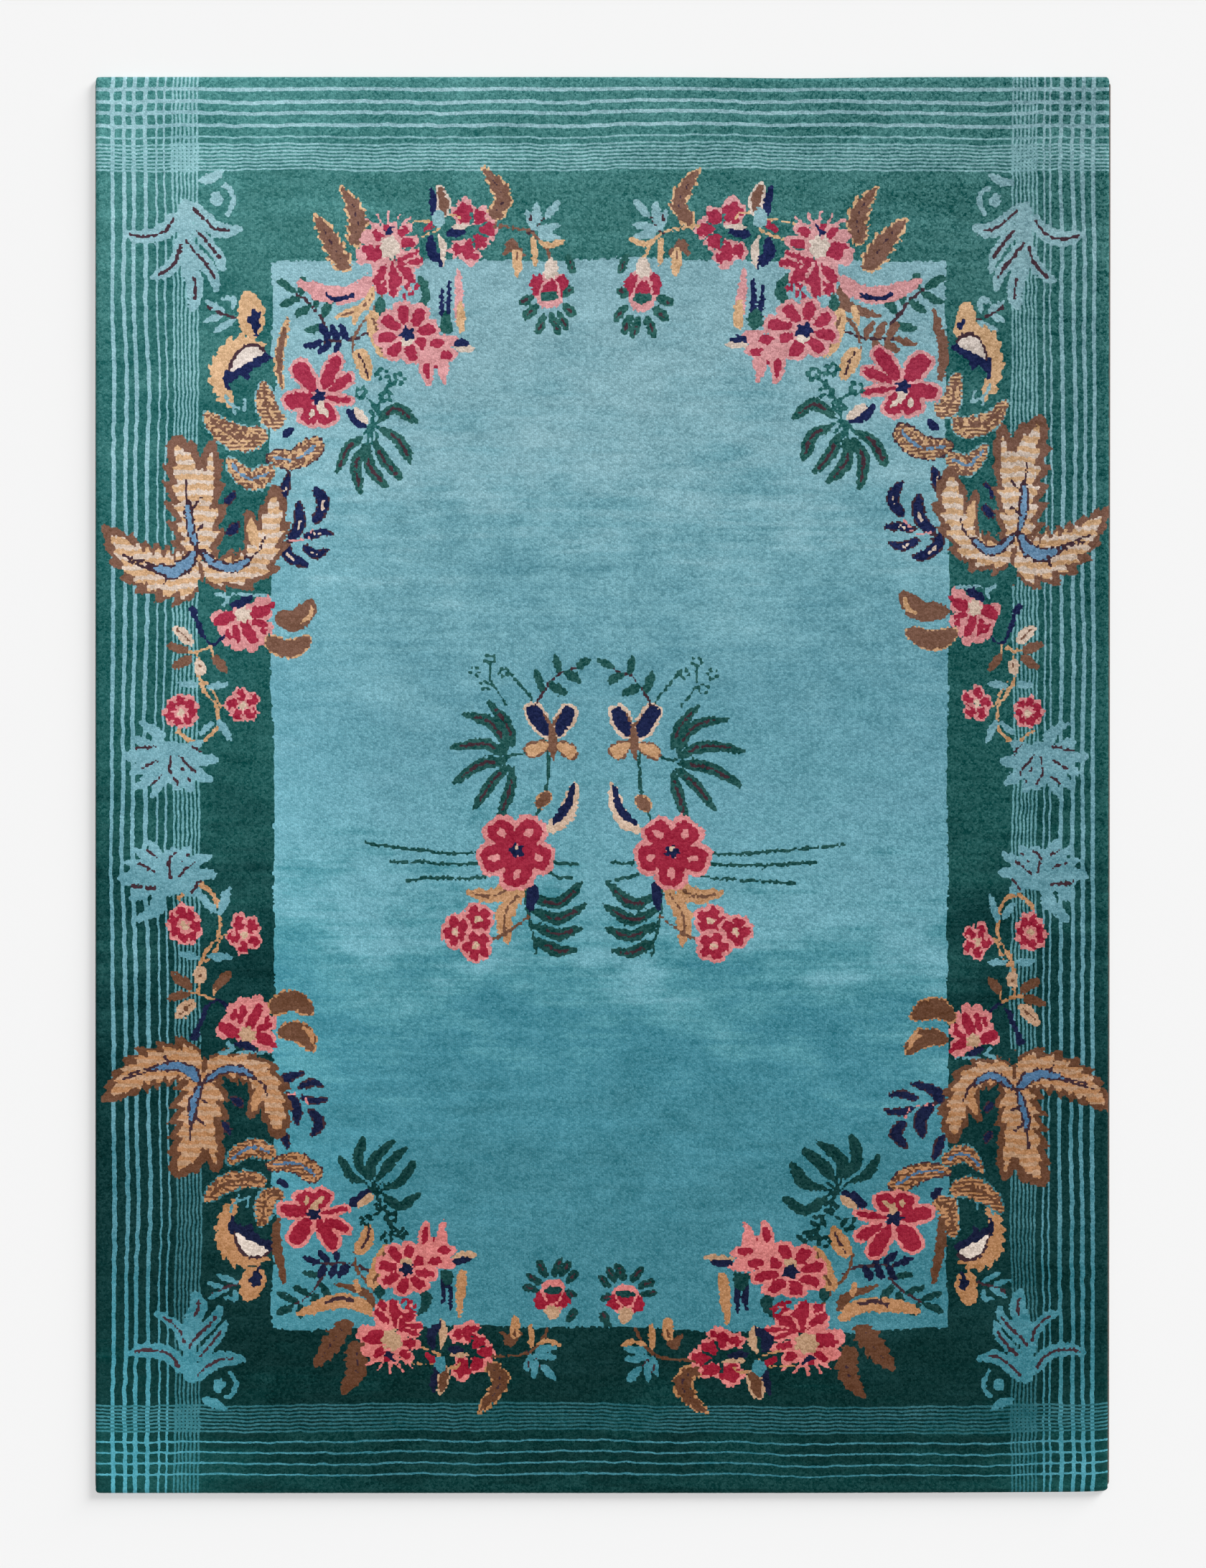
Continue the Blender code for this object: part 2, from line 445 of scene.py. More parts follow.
# Plumes.
moved(right=(1.4, 0), low_right=(-1.0, 0))


def plume(points, width, rim):
    """A deeply toothed brown leaf with a broken vein."""
    leaf(
        points, width, BROWN, belly=0.36, teeth=6, bite=0.34, rim=rim, rim_width=0.4,
        vein=WINE, vein_span=(0.2, 0.75), vein_width=0.3, fleck=True)


plume([(48.2, 107.6), (51.0, 112.4), (55.0, 118.7)], 5.0, flip(TAN, BROWN))
plume([(46.9, 112.4), (46.6, 118.7), (49.6, 124.4)], 4.7, flip(TAN, BROWN))
moved(right=(-1.6, -0.8))
plume([(21.1, 117.2), (18.0, 122.0), (22.5, 128.3)], 4.6, TAN)

# Pink leaf and feathery leaf.
moved(right=(1.1, 0), low_right=(0.3, 0))
leaf([(43.7, 106.5), (47.3, 103.2), (52.2, 103.2), (58.4, 105.9)], 4.0, flip(PINK, TAN),
    belly=0.42, teeth=4, bite=0.2, point=0.9)
line([(52.6, 103.2), (50.5, 102.1), (47.5, 102.7)], 0.95, flip(NAVY, WINE))
leaf([(43.4, 104.5), (45.4, 100.6), (51.0, 98.4)], 1.9, (TAN, BROWN, BROWN, BROWN), vein=BROWN,
    vein_width=0.4)
leaf([(46.2, 100.8), (47.1, 96.9)], 1.3, TAN)

# Stems and leaves near the big flower.
moved(right=(1.3, 0.6), low_right=(-0.9, 0))
line([(40.6, 104.5), (42.5, 102.0), (44.0, 99.2), (46.8, 95.2), (47.3, 91.5)], 0.5, BROWN)
leaf([(42.3, 98.3), (42.5, 102.3)], 2.0, LEAF)
leaf([(40.8, 89.8), (42.3, 94.6), (44.1, 99.7)], 3.6, TAN, vein=BROWN, belly=0.55)
leaf([(44.0, 85.6), (45.1, 89.0), (46.8, 92.1)], 3.2, TAN, vein=WINE, vein_width=0.4, belly=0.6)
leaf([(34.3, 99.7), (33.2, 103.1), (34.6, 106.6)], 2.3, LEAF, teeth=3)

# Peony of the upper garland.
moved(right=(0.8, 0), low_right=(-1.7, 0))
peony = (40.1, 112.2)
petals(peony, PINK, (-6, 1.0, 5.2, 2.6), (34, 1.0, 5.6, 2.6), (64, 0.6, 6.2, 3.6),
    (106, 0.6, 6.8, 4.6), (-42, 1.4, 6.0, 2.6), (-78, 1.2, 6.0, 2.6), (150, 0.6, 4.8, 3.6),
    (-124, 0.6, 4.8, 2.4), belly=0.62, teeth=3, bite=0.22, point=0.75)
petals(peony, RED, (42, 2.2, 5.0, 1.7), (108, 1.2, 4.8, 2.9), (92, 2.4, 5.6, 1.5),
    (-42, 2.8, 5.2, 1.7), (-80, 2.4, 5.0, 1.8), point=0.6)
for k in (-26, -13, 2, 16, 30):
    line([polar(peony, 4.4, k), polar(peony, 7.2, k * 1.3)], 0.45, PINK)
spot(peony, 1.9, CREAM, tall=1.1, ragged=0.14)
spot(polar(peony, 3.2, 8), 0.85, NAVY, ragged=0.3)
line([polar(peony, 3.2, 8), polar(peony, 4.4, -8)], 0.6, NAVY)
spot(polar(peony, 4.2, 10), 0.6, RED)
spot((41.4, 107.6), 2.4, PINK)
for base, tip, width in (((39.7, 109.3), (42.5, 102.8), 2.6), ((38.9, 109.9), (39.9, 102.4), 2.3),
        ((38.3, 110.2), (36.0, 105.1), 2.4), ((41.0, 108.5), (43.3, 105.1), 1.9),
        ((37.7, 109.3), (33.5, 109.3), 1.5), ((37.7, 109.9), (34.3, 111.3), 1.0)):
    leaf([base, tip], width + 1.0, PINK, point=0.6)
    leaf([base, tip], width, RED, point=0.6, teeth=3, bite=0.15)
for at in ((38.3, 105.7), (36.9, 104.5), (35.8, 105.7), (36.3, 103.1), (37.5, 102.8),
        (35.2, 104.2), (36.9, 106.2)):
    spot(at, 0.6, RED, ragged=0.3)
for at in ((37.6, 105.1), (36.3, 104.0), (36.9, 105.4), (41.1, 104.5)):
    spot(at, 0.4, PINK)

# Big flower and its side cluster.
moved(right=(1.4, 0.8), low_right=(-1.1, 0))
blossom((36.9, 95.3), 5.7, 8, NAVY, 12, 0.5, 0.24, 0.75, start=0.34, throat=CREAM)
spot((31.0, 91.2), 3.3, PINK, tall=1.1, ragged=0.2, lobes=6)
leaf([(32.1, 93.2), (26.7, 94.1)], 2.8, PINK)
for centre, size, turn in (((31.1, 93.4), 1.3, 0), ((29.4, 91.0), 1.25, 0),
        ((33.2, 88.1), 1.1, 0.4), ((30.8, 88.7), 0.8, 0)):
    spot(centre, size, RED, tall=0.7, turn=turn)
leaf([(33.5, 90.4), (32.6, 84.7)], 2.4, PINK)
leaf([(33.2, 89.5), (32.8, 85.9)], 1.3, RED)
leaf([(30.7, 89.8), (29.3, 85.0)], 1.5, PINK)
leaf([(27.8, 92.6), (23.2, 92.2)], 1.7, CREAM, belly=0.4)
leaf([(27.7, 93.4), (24.2, 93.2)], 1.5, NAVY, belly=0.4)

# Upright feathery leaves.
leaf([(26.3, 95.5), (27.0, 107.9)], 2.0, flip(PINK, TAN), belly=0.4, teeth=6, bite=0.25, point=0.8)
leaf([(26.1, 95.2), (26.4, 101.1)], 1.9, TAN, belly=0.4, teeth=3, bite=0.25, point=0.7)
for base, tip in (((29.8, 97.5), (30.1, 104.2)), ((28.6, 97.5), (28.6, 105.7))):
    leaf([base, tip], 1.15, NAVY, belly=0.4, teeth=7, bite=0.4, point=0.6)
leaf([(29.0, 95.2), (29.3, 99.4)], 3.0, LEAF, belly=0.35, teeth=3)

# Flower with open crimson petals.
moved(right=(1.4, 1.7), low_left=(0.8, 0), low_right=(-0.3, 1.3))
six = (54.4, 83.2)
six_petals = ((33, 1.4, 7.5, 3.6, 0.75), (-30, 1.4, 8.7, 2.9, 1.05), (-62, 2.2, 7.8, 2.0, 0.8),
    (-98, 1.2, 6.9, 1.3, 0.9), (-157, 1.6, 5.7, 3.6, 0.5), (157, 1.6, 5.7, 3.9, 0.5),
    (100, 1.0, 6.5, 3.2, 0.75))
for direction, near, far, width, point in six_petals:
    leaf([polar(six, near - 0.6, direction), polar(six, far + 0.7, direction)], width + 1.1, PINK,
        belly=0.6, point=point)
for direction, near, far, width, point in six_petals:
    leaf([polar(six, near, direction), polar(six, far, direction)], width, RED, belly=0.6,
        point=point, teeth=3, bite=0.12)
for direction in (-157, 157):
    leaf([polar(six, 2.6, direction - 8), polar(six, 4.6, direction + 5)], 0.9, CREAM)
leaf([polar(six, 0.6, 190), polar(six, 3.4, 186)], 1.6, CREAM, belly=0.3)
spot(six, 1.35, NAVY, tall=0.9, ragged=0.28, lobes=5)

# Bud, berries and leaf fan.
moved(right=(2.2, 1.1), low_left=(-0.6, 1.2), low_right=(0.3, 1.8))
leaf([(44.5, 76.8), (48.8, 80.5)], 2.7, NAVY, teeth=3, bite=0.15)
leaf([(44.2, 77.7), (47.1, 80.8)], 1.9, CREAM)
lines(0.5, GREEN, [(43.4, 76.3), (42.8, 79.6), (40.8, 83.3), (39.9, 86.4)],
    [(40.6, 83.6), (38.6, 85.9)], [(42.0, 81.1), (45.1, 83.3)])
for centre in ((41.3, 87.0), (38.3, 86.0), (45.5, 83.7), (40.4, 82.9), (42.5, 80.1)):
    for k in range(5):
        spot(polar(centre, 1.0, 72 * k + 9 * centre[0]), 0.52, GREEN)
for tip in ((45.7, 74.6), (44.5, 73.4), (43.4, 73.7), (42.0, 74.8), (41.1, 76.3), (41.4, 77.9)):
    line([(43.7, 77.4), tip], 0.5, GREEN)
for points, width in (
        ([(45.4, 75.1), (48.5, 73.1), (50.9, 68.1)], 2.1),
        ([(44.8, 74.0), (46.9, 69.8), (45.9, 63.5)], 2.3),
        ([(44.1, 74.0), (44.0, 69.5), (40.1, 64.8)], 2.4),
        ([(43.0, 74.8), (41.0, 70.6), (37.6, 66.6)], 2.3),
        ([(42.0, 76.3), (38.2, 74.6), (36.0, 69.5)], 2.4),
        ([(42.1, 77.7), (38.3, 80.5), (34.3, 77.4)], 2.3)):
    leaf(points, width, LEAF, vein=flip(WINE, GREEN), vein_width=0.55, vein_span=(0.24, 0.84),
        belly=0.5, point=1.1)

# Small navy leaves and the navy sprig.
moved(right=(1.1, 1.3), low_left=(1.0, 0), low_right=(1.1, 3.4))
leaf([(61.2, 74.8), (59.1, 77.0)], 1.6, NAVY)
leaf([(72.8, 61.6), (70.8, 64.5)], 1.9, NAVY, rim=WINE, rim_width=0.3)
for points, width in (
        ([(61.5, 62.1), (60.5, 64.7), (59.6, 68.1)], 2.0),
        ([(55.1, 58.2), (53.0, 61.6), (55.0, 65.2)], 2.5),
        ([(60.1, 54.5), (57.8, 57.9), (57.7, 62.7)], 2.6),
        ([(57.0, 55.3), (53.9, 56.2), (51.2, 55.6)], 2.0),
        ([(57.4, 53.6), (54.7, 51.9), (52.2, 52.5)], 2.0),
        ([(61.2, 54.8), (59.8, 51.4), (56.0, 49.5)], 2.4)):
    leaf(points, width, NAVY, rim=WINE, rim_width=0.28, vein=flip(CREAM, NAVY),
        vein_span=(0.36, 0.6), vein_width=0.45, point=0.9)
lines(0.4, PINK, [(59.8, 54.8), (57.0, 54.8)], [(56.1, 55.3), (55.0, 57.6)])

# Palmette with three toothed lobes.
moved(right=(1.4, 3.4), low_left=(0, -0.3), low_right=(2.1, 2.0))
lobes = (
    ([(77.5, 50.8), (77.9, 57.9), (78.6, 63.5), (80.0, 69.2), (83.0, 75.4)], 12.4, 0.36, 6, 0.8),
    ([(76.7, 59.3), (75.8, 66.1), (74.9, 74.3)], 6.4, 0.40, 3, 0.9),
    ([(76.2, 49.1), (81.6, 47.7), (89.2, 50.2), (97.0, 57.7)], 12.6, 0.30, 8, 1.1),
    ([(78.2, 48.8), (71.9, 48.3), (66.9, 50.2), (63.7, 56.5), (62.2, 65.8)], 9.6, 0.44, 7, 0.9),
    ([(66.0, 51.4), (67.1, 55.9), (68.4, 61.0)], 4.6, 0.4, 2, 1.0),
)
for points, width, belly, teeth, point in lobes:
    leaf(points, width, BROWN, belly=belly, teeth=teeth, bite=0.34, point=point)
spot((70.7, 55.9), 2.1, GREEN, tall=1.1)
line([(70.4, 56.2), (70.0, 58.4), (70.8, 61.3)], 2.2, GREEN)
insets, tapers = (3.4, 3.6, 2.9, 2.9), (1.5, 1.2, 0.85, 0.85)
for (points, width, belly, teeth, point), inset, taper in zip(lobes, insets, tapers):
    (before_u, before_v), (tip_u, tip_v) = points[-2:]
    tip = (tip_u * 0.75 + before_u * 0.25, tip_v * 0.75 + before_v * 0.25)
    leaf(
        [*points[:-1], tip], width - inset, TAN, belly=belly, teeth=teeth, bite=0.42,
        point=point * taper, streak=CREAM, wave=2.05, thin=0.05)
leaf([(66.4, 53.4), (67.1, 55.9), (67.8, 59.0)], 1.9, TAN, point=0.8)
line([(76.9, 46.9), (77.2, 43.2)], 1.5, GREEN)
line([(77.3, 50.0), (77.0, 46.6)], 0.9, BROWN)
leaf([(72.2, 55.6), (69.8, 58.2)], 2.2, NAVY, rim=WINE, rim_width=0.3)
leaf([(77.9, 52.5), (79.2, 57.9), (79.6, 63.0)], 1.9, BLUE, belly=0.5, rim=WINE, rim_width=0.42,
    point=0.8)
line([(79.6, 62.1), (79.9, 66.6)], 0.5, WINE)
leaf([(77.9, 52.5), (80.4, 49.4), (83.5, 48.6), (88.1, 50.0)], 3.4, BLUE, belly=0.4, rim=WINE,
    rim_width=0.42, teeth=3, bite=0.3, point=1.1)
lines(0.5, WINE, [(86.6, 50.0), (90.0, 51.1), (93.1, 52.2)],
    [(86.4, 49.1), (89.2, 50.0), (91.7, 50.8)])
leaf([(77.6, 52.8), (74.5, 49.8), (70.8, 49.3), (67.1, 51.7)], 2.2, BLUE, belly=0.55, rim=WINE,
    rim_width=0.42, point=0.9)
line([(67.7, 51.1), (65.7, 53.1), (64.7, 55.6)], 0.5, WINE)
lines(0.45, WINE, [(79.0, 60.4), (77.0, 63.0)], [(78.7, 56.2), (76.6, 57.6)],
    [(84.1, 48.0), (84.7, 46.3)], [(74.5, 50.2), (75.1, 51.4)])

# Peony beside the palmette.
moved(right=(0.6, 1.5), low_left=(0, 1.3), low_right=(1.1, 3.0))
two = (68.7, 38.7)
petals(two, PINK, (84, 1.0, 6.4, 3.2), (112, 1.0, 5.4, 2.6), (140, 0.6, 6.2, 3.2),
    (168, 0.6, 6.4, 3.2), (-164, 0.6, 6.8, 3.2), (-138, 0.6, 6.4, 3.0), (-108, 0.6, 6.2, 3.2),
    (-76, 1.0, 6.0, 2.6), (-48, 1.0, 6.9, 3.0), (20, 0.2, 3.6, 3.2), (-14, 0.2, 3.8, 3.0),
    belly=0.62, teeth=3, bite=0.24, point=0.8)
for base, tip, width in (((70.4, 39.5), (74.5, 38.1), 2.2), ((67.1, 39.8), (63.3, 40.8), 2.0),
        ((64.6, 40.4), (62.5, 42.2), 1.0), ((66.9, 38.5), (63.5, 37.5), 1.1),
        ((68.7, 38.4), (66.3, 34.0), 1.9), ((70.4, 37.5), (69.5, 34.0), 1.3),
        ((72.2, 36.7), (70.8, 34.7), 0.9), ((65.2, 36.7), (63.9, 36.5), 0.9)):
    leaf([base, tip], width * 1.25, RED, point=0.65, teeth=3, bite=0.15)
spot((68.7, 39.6), 1.7, CREAM, tall=0.95, ragged=0.15)
leaf([(71.4, 41.5), (69.4, 41.9), (66.6, 43.5)], 2.2, NAVY, teeth=3)
line([(74.2, 43.9), (71.7, 42.9), (72.8, 41.5)], 0.8, ICE)
line([(70.8, 43.7), (64.3, 43.6)], 0.6, ICE)
leaf([(62.5, 39.2), (59.2, 38.7), (57.0, 39.8), (55.1, 42.9)], 4.4, BROWN, teeth=4, bite=0.12,
    point=0.95, rim=flip(BROWN, TAN), rim_width=0.3)
leaf([(57.8, 38.1), (56.1, 39.2), (55.4, 41.8)], 0.9, TAN)
leaf([(64.6, 35.0), (60.1, 33.1), (55.5, 35.3)], 4.6, BROWN, teeth=6, bite=0.15, rim=TAN,
    rim_width=0.3, point=0.85)

# Side stem with small flowers.
moved(right=(0.8, 0.2), low_left=(0.2, 0.4), low_right=(1.4, 1.6))
line([(79.2, 41.5), (78.4, 40.1)], 1.5, NAVY)
line([(78.9, 40.9), (77.5, 37.8), (76.5, 35.3)], 0.9, NAVY)
line([(76.5, 35.3), (74.5, 33.9), (72.5, 35.3)], 0.5, NAVY)
line([(83.5, 33.4), (80.4, 32.6), (77.9, 32.6), (75.1, 33.7)], 0.5, TAN)
leaf([(79.6, 32.6), (84.2, 33.9)], 1.9, BROWN)
leaf([(78.7, 34.1), (82.5, 37.5)], 2.5, CREAM, vein=BROWN, vein_width=0.4)
leaves(BROWN, (2.0, (79.0, 31.6), (83.2, 29.0)), (2.0, (75.1, 31.9), (71.9, 28.6)))
line([(75.1, 33.7), (74.8, 31.7)], 0.4, TAN)
line([(77.9, 32.6), (77.6, 29.6), (77.9, 27.6)], 0.5, TAN)
spot((77.6, 29.3), 1.2, CREAM, tall=1.3)
spot((77.6, 29.6), 0.42, BROWN)
line([(77.9, 27.6), (76.6, 24.7), (74.5, 22.5), (73.8, 19.7), (74.2, 17.2), (75.9, 15.3),
    (78.4, 14.6), (81.6, 16.6)], 0.65, TAN)
line([(76.7, 26.8), (74.8, 24.5), (73.6, 22.3), (72.5, 21.7)], 0.5, TAN)
line([(76.7, 26.1), (74.8, 23.3)], 0.6, GREEN)
leaves(ICE, (1.4, (76.5, 25.8), (71.7, 26.2)), (1.4, (78.2, 26.1), (81.8, 25.7)))
spot((80.8, 20.6), 3.3, PINK, ragged=0.07, lobes=9)
for k in range(7):
    spot(polar((80.8, 20.6), 2.1, 51.4 * k + 10), 0.88, RED, tall=1.0, ragged=0.15, lobes=5)
spot((80.8, 20.4), 0.75, CREAM, ragged=0.2)
for size, yarn in ((1.6, PINK), (1.1, RED)):
    for k in range(5):
        spot(polar((69.1, 22.1), 2.1, 72 * k + 10), size, yarn, ragged=0.1, lobes=6)
for k in range(5):
    spot(polar((69.1, 22.1), 2.1, 72 * k + 28), 0.34, PINK)
spot((69.1, 22.1), 0.7, CREAM, ragged=0.3)
leaves(ICE, (1.4, (74.5, 18.6), (77.6, 15.9)), (1.7, (73.9, 18.9), (71.4, 14.8)))

# Lilies halfway along the sides.
moved(right=(1.1, 0), low_left=(0.5, 2.0), low_right=(1.1, 1.2))
lily = (83.2, 11.2)
petals(lily, ICE, (58, 0, 8.4, 2.8), (82, 0, 9.8, 2.8), (104, 0, 8.4, 2.8), (128, 0, 8.8, 2.6),
    (152, 0, 8.2, 2.4), (-170, 0, 6.0, 3.4), (-146, 0, 7.4, 3.2), (-118, 0, 9.4, 3.0),
    (-90, 0, 9.4, 3.0), (-62, 0, 7.4, 3.0), (30, 0, 6.4, 2.4), point=0.9, teeth=3, bite=0.2)
spot(lily, 3.9, ICE, tall=0.9)
lines(0.5, WINE, ((90.0, 13.4), (85.8, 13.8)), ((88.8, 9.8), (85.8, 11.1)),
    ((87.1, 6.6), (85.4, 8.1)), ((83.0, 11.9), (83.4, 8.7), (82.0, 6.6)),
    ((81.3, 11.9), (79.9, 10.4), (78.3, 8.8)), ((79.0, 14.1), (77.3, 12.5)),
    ((81.0, 9.5), (80.7, 9.0)), ((79.9, 7.6), (79.6, 7.0)), ((87.8, 17.2), (84.4, 16.5)))
leaf([(83.5, 15.5), (89.2, 18.6)], 1.8, ICE)

# Inner part of the upper garland.
moved(right=(0.5, -0.2))
small_petals = (((25.9, 118.9), 1.75, 1.15), ((23.0, 118.2), 1.45, 1.0), ((21.2, 115.7), 1.5, 1.0),
    ((23.0, 113.3), 1.6, 0.85), ((27.0, 111.6), 0.95, 1.3), ((24.9, 111.4), 1.15, 1.5),
    ((23.6, 110.3), 0.75, 1.0))
for centre, size, tall in small_petals:
    spot(centre, size + 0.5, PINK, tall=tall, ragged=0.12, lobes=6)
for base, tip, width in (((25.6, 119.2), (26.0, 122.2), 1.8), ((25.9, 118.7), (28.3, 120.1), 1.6),
        ((23.0, 118.4), (21.5, 120.2), 1.6), ((21.1, 115.8), (19.1, 116.1), 1.5),
        ((24.7, 111.0), (24.3, 108.1), 2.0), ((27.0, 111.6), (28.7, 111.0), 1.4)):
    leaf([base, tip], width, PINK, point=0.7)
spot((24.3, 115.4), 1.5, GREEN)
for centre, size, tall in small_petals:
    spot(centre, size, RED, tall=tall, ragged=0.12, lobes=5)
for tip in ((21.6, 117.1), (21.5, 114.3), (24.5, 118.8), (23.9, 112.2)):
    line([(24.3, 115.4), tip], 0.5, GREEN)
leaf([(29.0, 114.7), (25.4, 115.4)], 2.0, NAVY)
leaf([(28.4, 116.1), (24.5, 116.4)], 1.0, CREAM)
line([(36.3, 117.1), (33.5, 117.5), (31.1, 117.2), (30.7, 115.5), (34.3, 113.8)], 0.42, TAN)
leaf([(31.2, 117.5), (33.5, 115.1)], 1.3, RED)
line([(29.8, 118.7), (27.3, 118.7), (26.4, 117.8)], 0.45, TAN)
leaf([(31.2, 116.4), (32.2, 124.0)], 1.3, NAVY, belly=0.6)
leaf([(30.4, 117.5), (29.8, 120.4), (30.7, 124.6)], 2.6, BROWN, belly=0.5, rim=CREAM,
    rim_width=0.4)
leaf([(30.7, 116.1), (30.5, 119.8)], 2.4, ICE)
leaf([(31.0, 108.8), (32.1, 111.6), (31.7, 114.4)], 2.0, NAVY)
leaf([(30.4, 107.9), (29.7, 111.6), (30.5, 114.7)], 1.4, CREAM)
line([(30.5, 110.5), (30.4, 108.2)], 0.45, NAVY)
line([(20.2, 116.4), (16.5, 116.0), (13.1, 115.3), (10.6, 113.3), (8.8, 109.9)], 0.6,
    (BROWN, TAN, BROWN, BROWN))
line([(13.1, 114.8), (11.4, 116.1), (9.5, 118.7)], 0.4, WINE)
for base, tip in (((12.0, 115.5), (13.3, 119.8)), ((11.2, 116.7), (11.3, 121.3)),
        ((9.8, 117.8), (6.9, 121.5)), ((11.7, 115.5), (6.6, 116.4)),
        ((11.2, 114.4), (6.6, 114.0))):
    leaf([base, tip], 1.7, ICE)
line([(12.7, 117.2), (12.4, 118.7)], 0.4, WINE)
leaves(TAN, (1.2, (9.2, 112.2), (5.8, 113.6)), (1.1, (8.6, 112.2), (11.2, 113.4)))
spot((16.5, 112.6), 1.3, BROWN)
leaves(BROWN, (1.0, (16.3, 112.7), (18.4, 110.5)), (1.2, (16.3, 112.7), (13.9, 110.5)))
leaf([(15.5, 112.2), (15.3, 106.4)], 2.1, TAN, vein=BROWN, vein_span=(0.1, 0.4))
leaf([(12.2, 114.1), (12.0, 108.3)], 1.4, TAN)
moved(right=(0.3, -0.4), low_left=(-0.9, -2.2), low_right=(-2.0, -1.2))
spot((8.8, 108.2), 1.3, CREAM, tall=1.4)
spot((8.9, 104.4), 3.4, PINK, ragged=0.06, lobes=9)
spot((8.9, 102.0), 2.6, PINK, tall=0.8)
spot((11.2, 104.8), 1.5, RED, tall=1.5, ragged=0.1)
spot((6.6, 104.7), 1.5, RED, tall=1.4, ragged=0.1)
spot((8.9, 104.1), 1.9, RED, tall=1.1, ragged=0.1)
line([(10.9, 102.7), (10.2, 105.1), (8.9, 105.9), (7.6, 105.1), (6.9, 102.7)], 0.45, PINK)
spot((8.8, 107.6), 1.5, CREAM, tall=0.95, ragged=0.15)
spot((8.9, 102.4), 1.9, LEAF, tall=0.5)
for base, tip in (((11.7, 102.5), (15.1, 101.1)), ((11.2, 100.8), (14.3, 98.3)),
        ((10.0, 99.4), (12.0, 95.2)), ((8.8, 99.4), (7.3, 94.9)), ((7.2, 99.7), (5.4, 95.8)),
        ((6.1, 101.1), (3.7, 98.3)), ((6.1, 102.5), (4.2, 104.5)), ((5.8, 110.7), (4.1, 107.1))):
    leaf([base, tip], 1.8, LEAF, belly=0.55, vein=WINE, vein_width=0.4, vein_span=(0.4, 0.8),
        point=0.9)
moved()

# The spray in the middle has a layout of its own. It is mirrored from left to right only, so v
# Runs on from the design's middle, and below it is less than 0.
in_middle = True
# Long grass blades sweeping outwards.
lines(0.62, LEAF, [(13, -6), (28, -7.4), (45, -5.2)], [(13, -7.5), (26, -9.6), (40, -8.8)],
    [(12, -9), (24, -12.2), (37, -12.6)], [(12, -7), (7, -9.4), (3, -9.2)],
    [(12, -8.6), (8, -11.8), (4, -12.4)])
# Main stem.
line([(11.5, -27), (13.5, -16), (12, -4), (8.6, 8), (11.5, 22), (17, 29)], 0.6, LEAF)
# Leaf fan on the outer side, up.
for points in ([(16.5, 13), (20, 18), (26, 20)], [(16.5, 12), (22, 14), (28.5, 13)],
        [(16.5, 11), (22, 10), (28, 6)], [(16, 10), (19.5, 7), (23.5, 1)],
        [(15.5, 9.5), (16.2, 5), (18.4, -1)], [(15.5, 13.5), (17, 18), (21, 22.5)]):
    leaf(points, 2.3, LEAF, vein=WINE, vein_width=0.5, vein_span=(0.2, 0.8))
line([(10.5, 14), (13, 12.4), (16.4, 11.6)], 0.5, LEAF)
# Arched leaves, inner side, low.
arches = (-15.5, (2.0, -12.6)), (-18.5, (1.6, -17.0)), (-21.5, (2.0, -21.6)), (-24.5, (3.0, -26.2))
for k, (low, tip) in enumerate(arches):
    path = [(13 - 0.3 * k, low), (7.5, low - 1.8), tip]
    leaf(path, 2.3, LEAF, vein=WINE, vein_width=0.5, vein_span=(0.25, 0.8))
# Tan leaves by the large blossom.
leaves(TAN, (3.6, (15, -12), (19.5, -15.5), (25, -15)),
    (3.8, (14, -14), (17.5, -19.5), (17, -25.5)), vein=BROWN, teeth=4, bite=0.3)
leaf([(12, -13), (12.8, -19)], 2.2, NAVY)
# Large blossom with five crimson petals.
blossom((15.2, -6.8), 6.8, 5, NAVY, 36, 0.62, 0.2, 0.8, start=0.16, glint=PINK)
spot((15.2, -6.2), 0.5, CREAM)
# Bud cup at the inner side.
leaf([(9, -3), (5, 0.5), (3.4, 7)], 3.6, CREAM, teeth=5, bite=0.2)
leaf([(8.2, -1.6), (5, 1.8), (3.8, 6.6)], 1.9, NAVY, teeth=4, bite=0.25)
leaf([(11, 1.5), (8.0, 4.4)], 2.8, BROWN, rim=TAN, rim_width=0.3)
# Butterfly above.
leaves(NAVY, (4.4, (8.6, 15.6), (12.4, 22.6)), (4.2, (7.4, 15.6), (4.2, 22.4)), rim=CREAM,
    rim_width=0.62, belly=0.62, point=0.8)
leaves(TAN, (3.2, (8.6, 14.8), (13.2, 12.4)), (3.2, (7.4, 14.8), (3.4, 12.2)), rim=BROWN,
    rim_width=0.45, belly=0.62, point=0.8)
leaf([(8.0, 11.4), (8.0, 18.2)], 1.5, BROWN, belly=0.6)
lines(0.4, BROWN, [(8.0, 18), (9.6, 20.6)], [(8.0, 18), (6.6, 20.6)])
# Three small blossoms on a side branch, low and outside.
line([(13, -20), (19, -24), (23, -22)], 0.5, BROWN)
for c in ((22.6, -20.4), (26.8, -22.6), (22.8, -25.4)):
    blossom(c, 2.7, 5, CREAM, 20, 0.62, 0.24, 0.55)
# Berries above the fan.
line([(17, 22), (20, 26), (20.4, 30)], 0.42, LEAF)
for c in ((20.4, 31), (17.8, 28.6), (23.2, 28.4), (21.4, 25.6)):
    for k in range(5):
        spot(polar(c, 0.85, 72 * k + c[0] * 30), 0.42, LEAF)
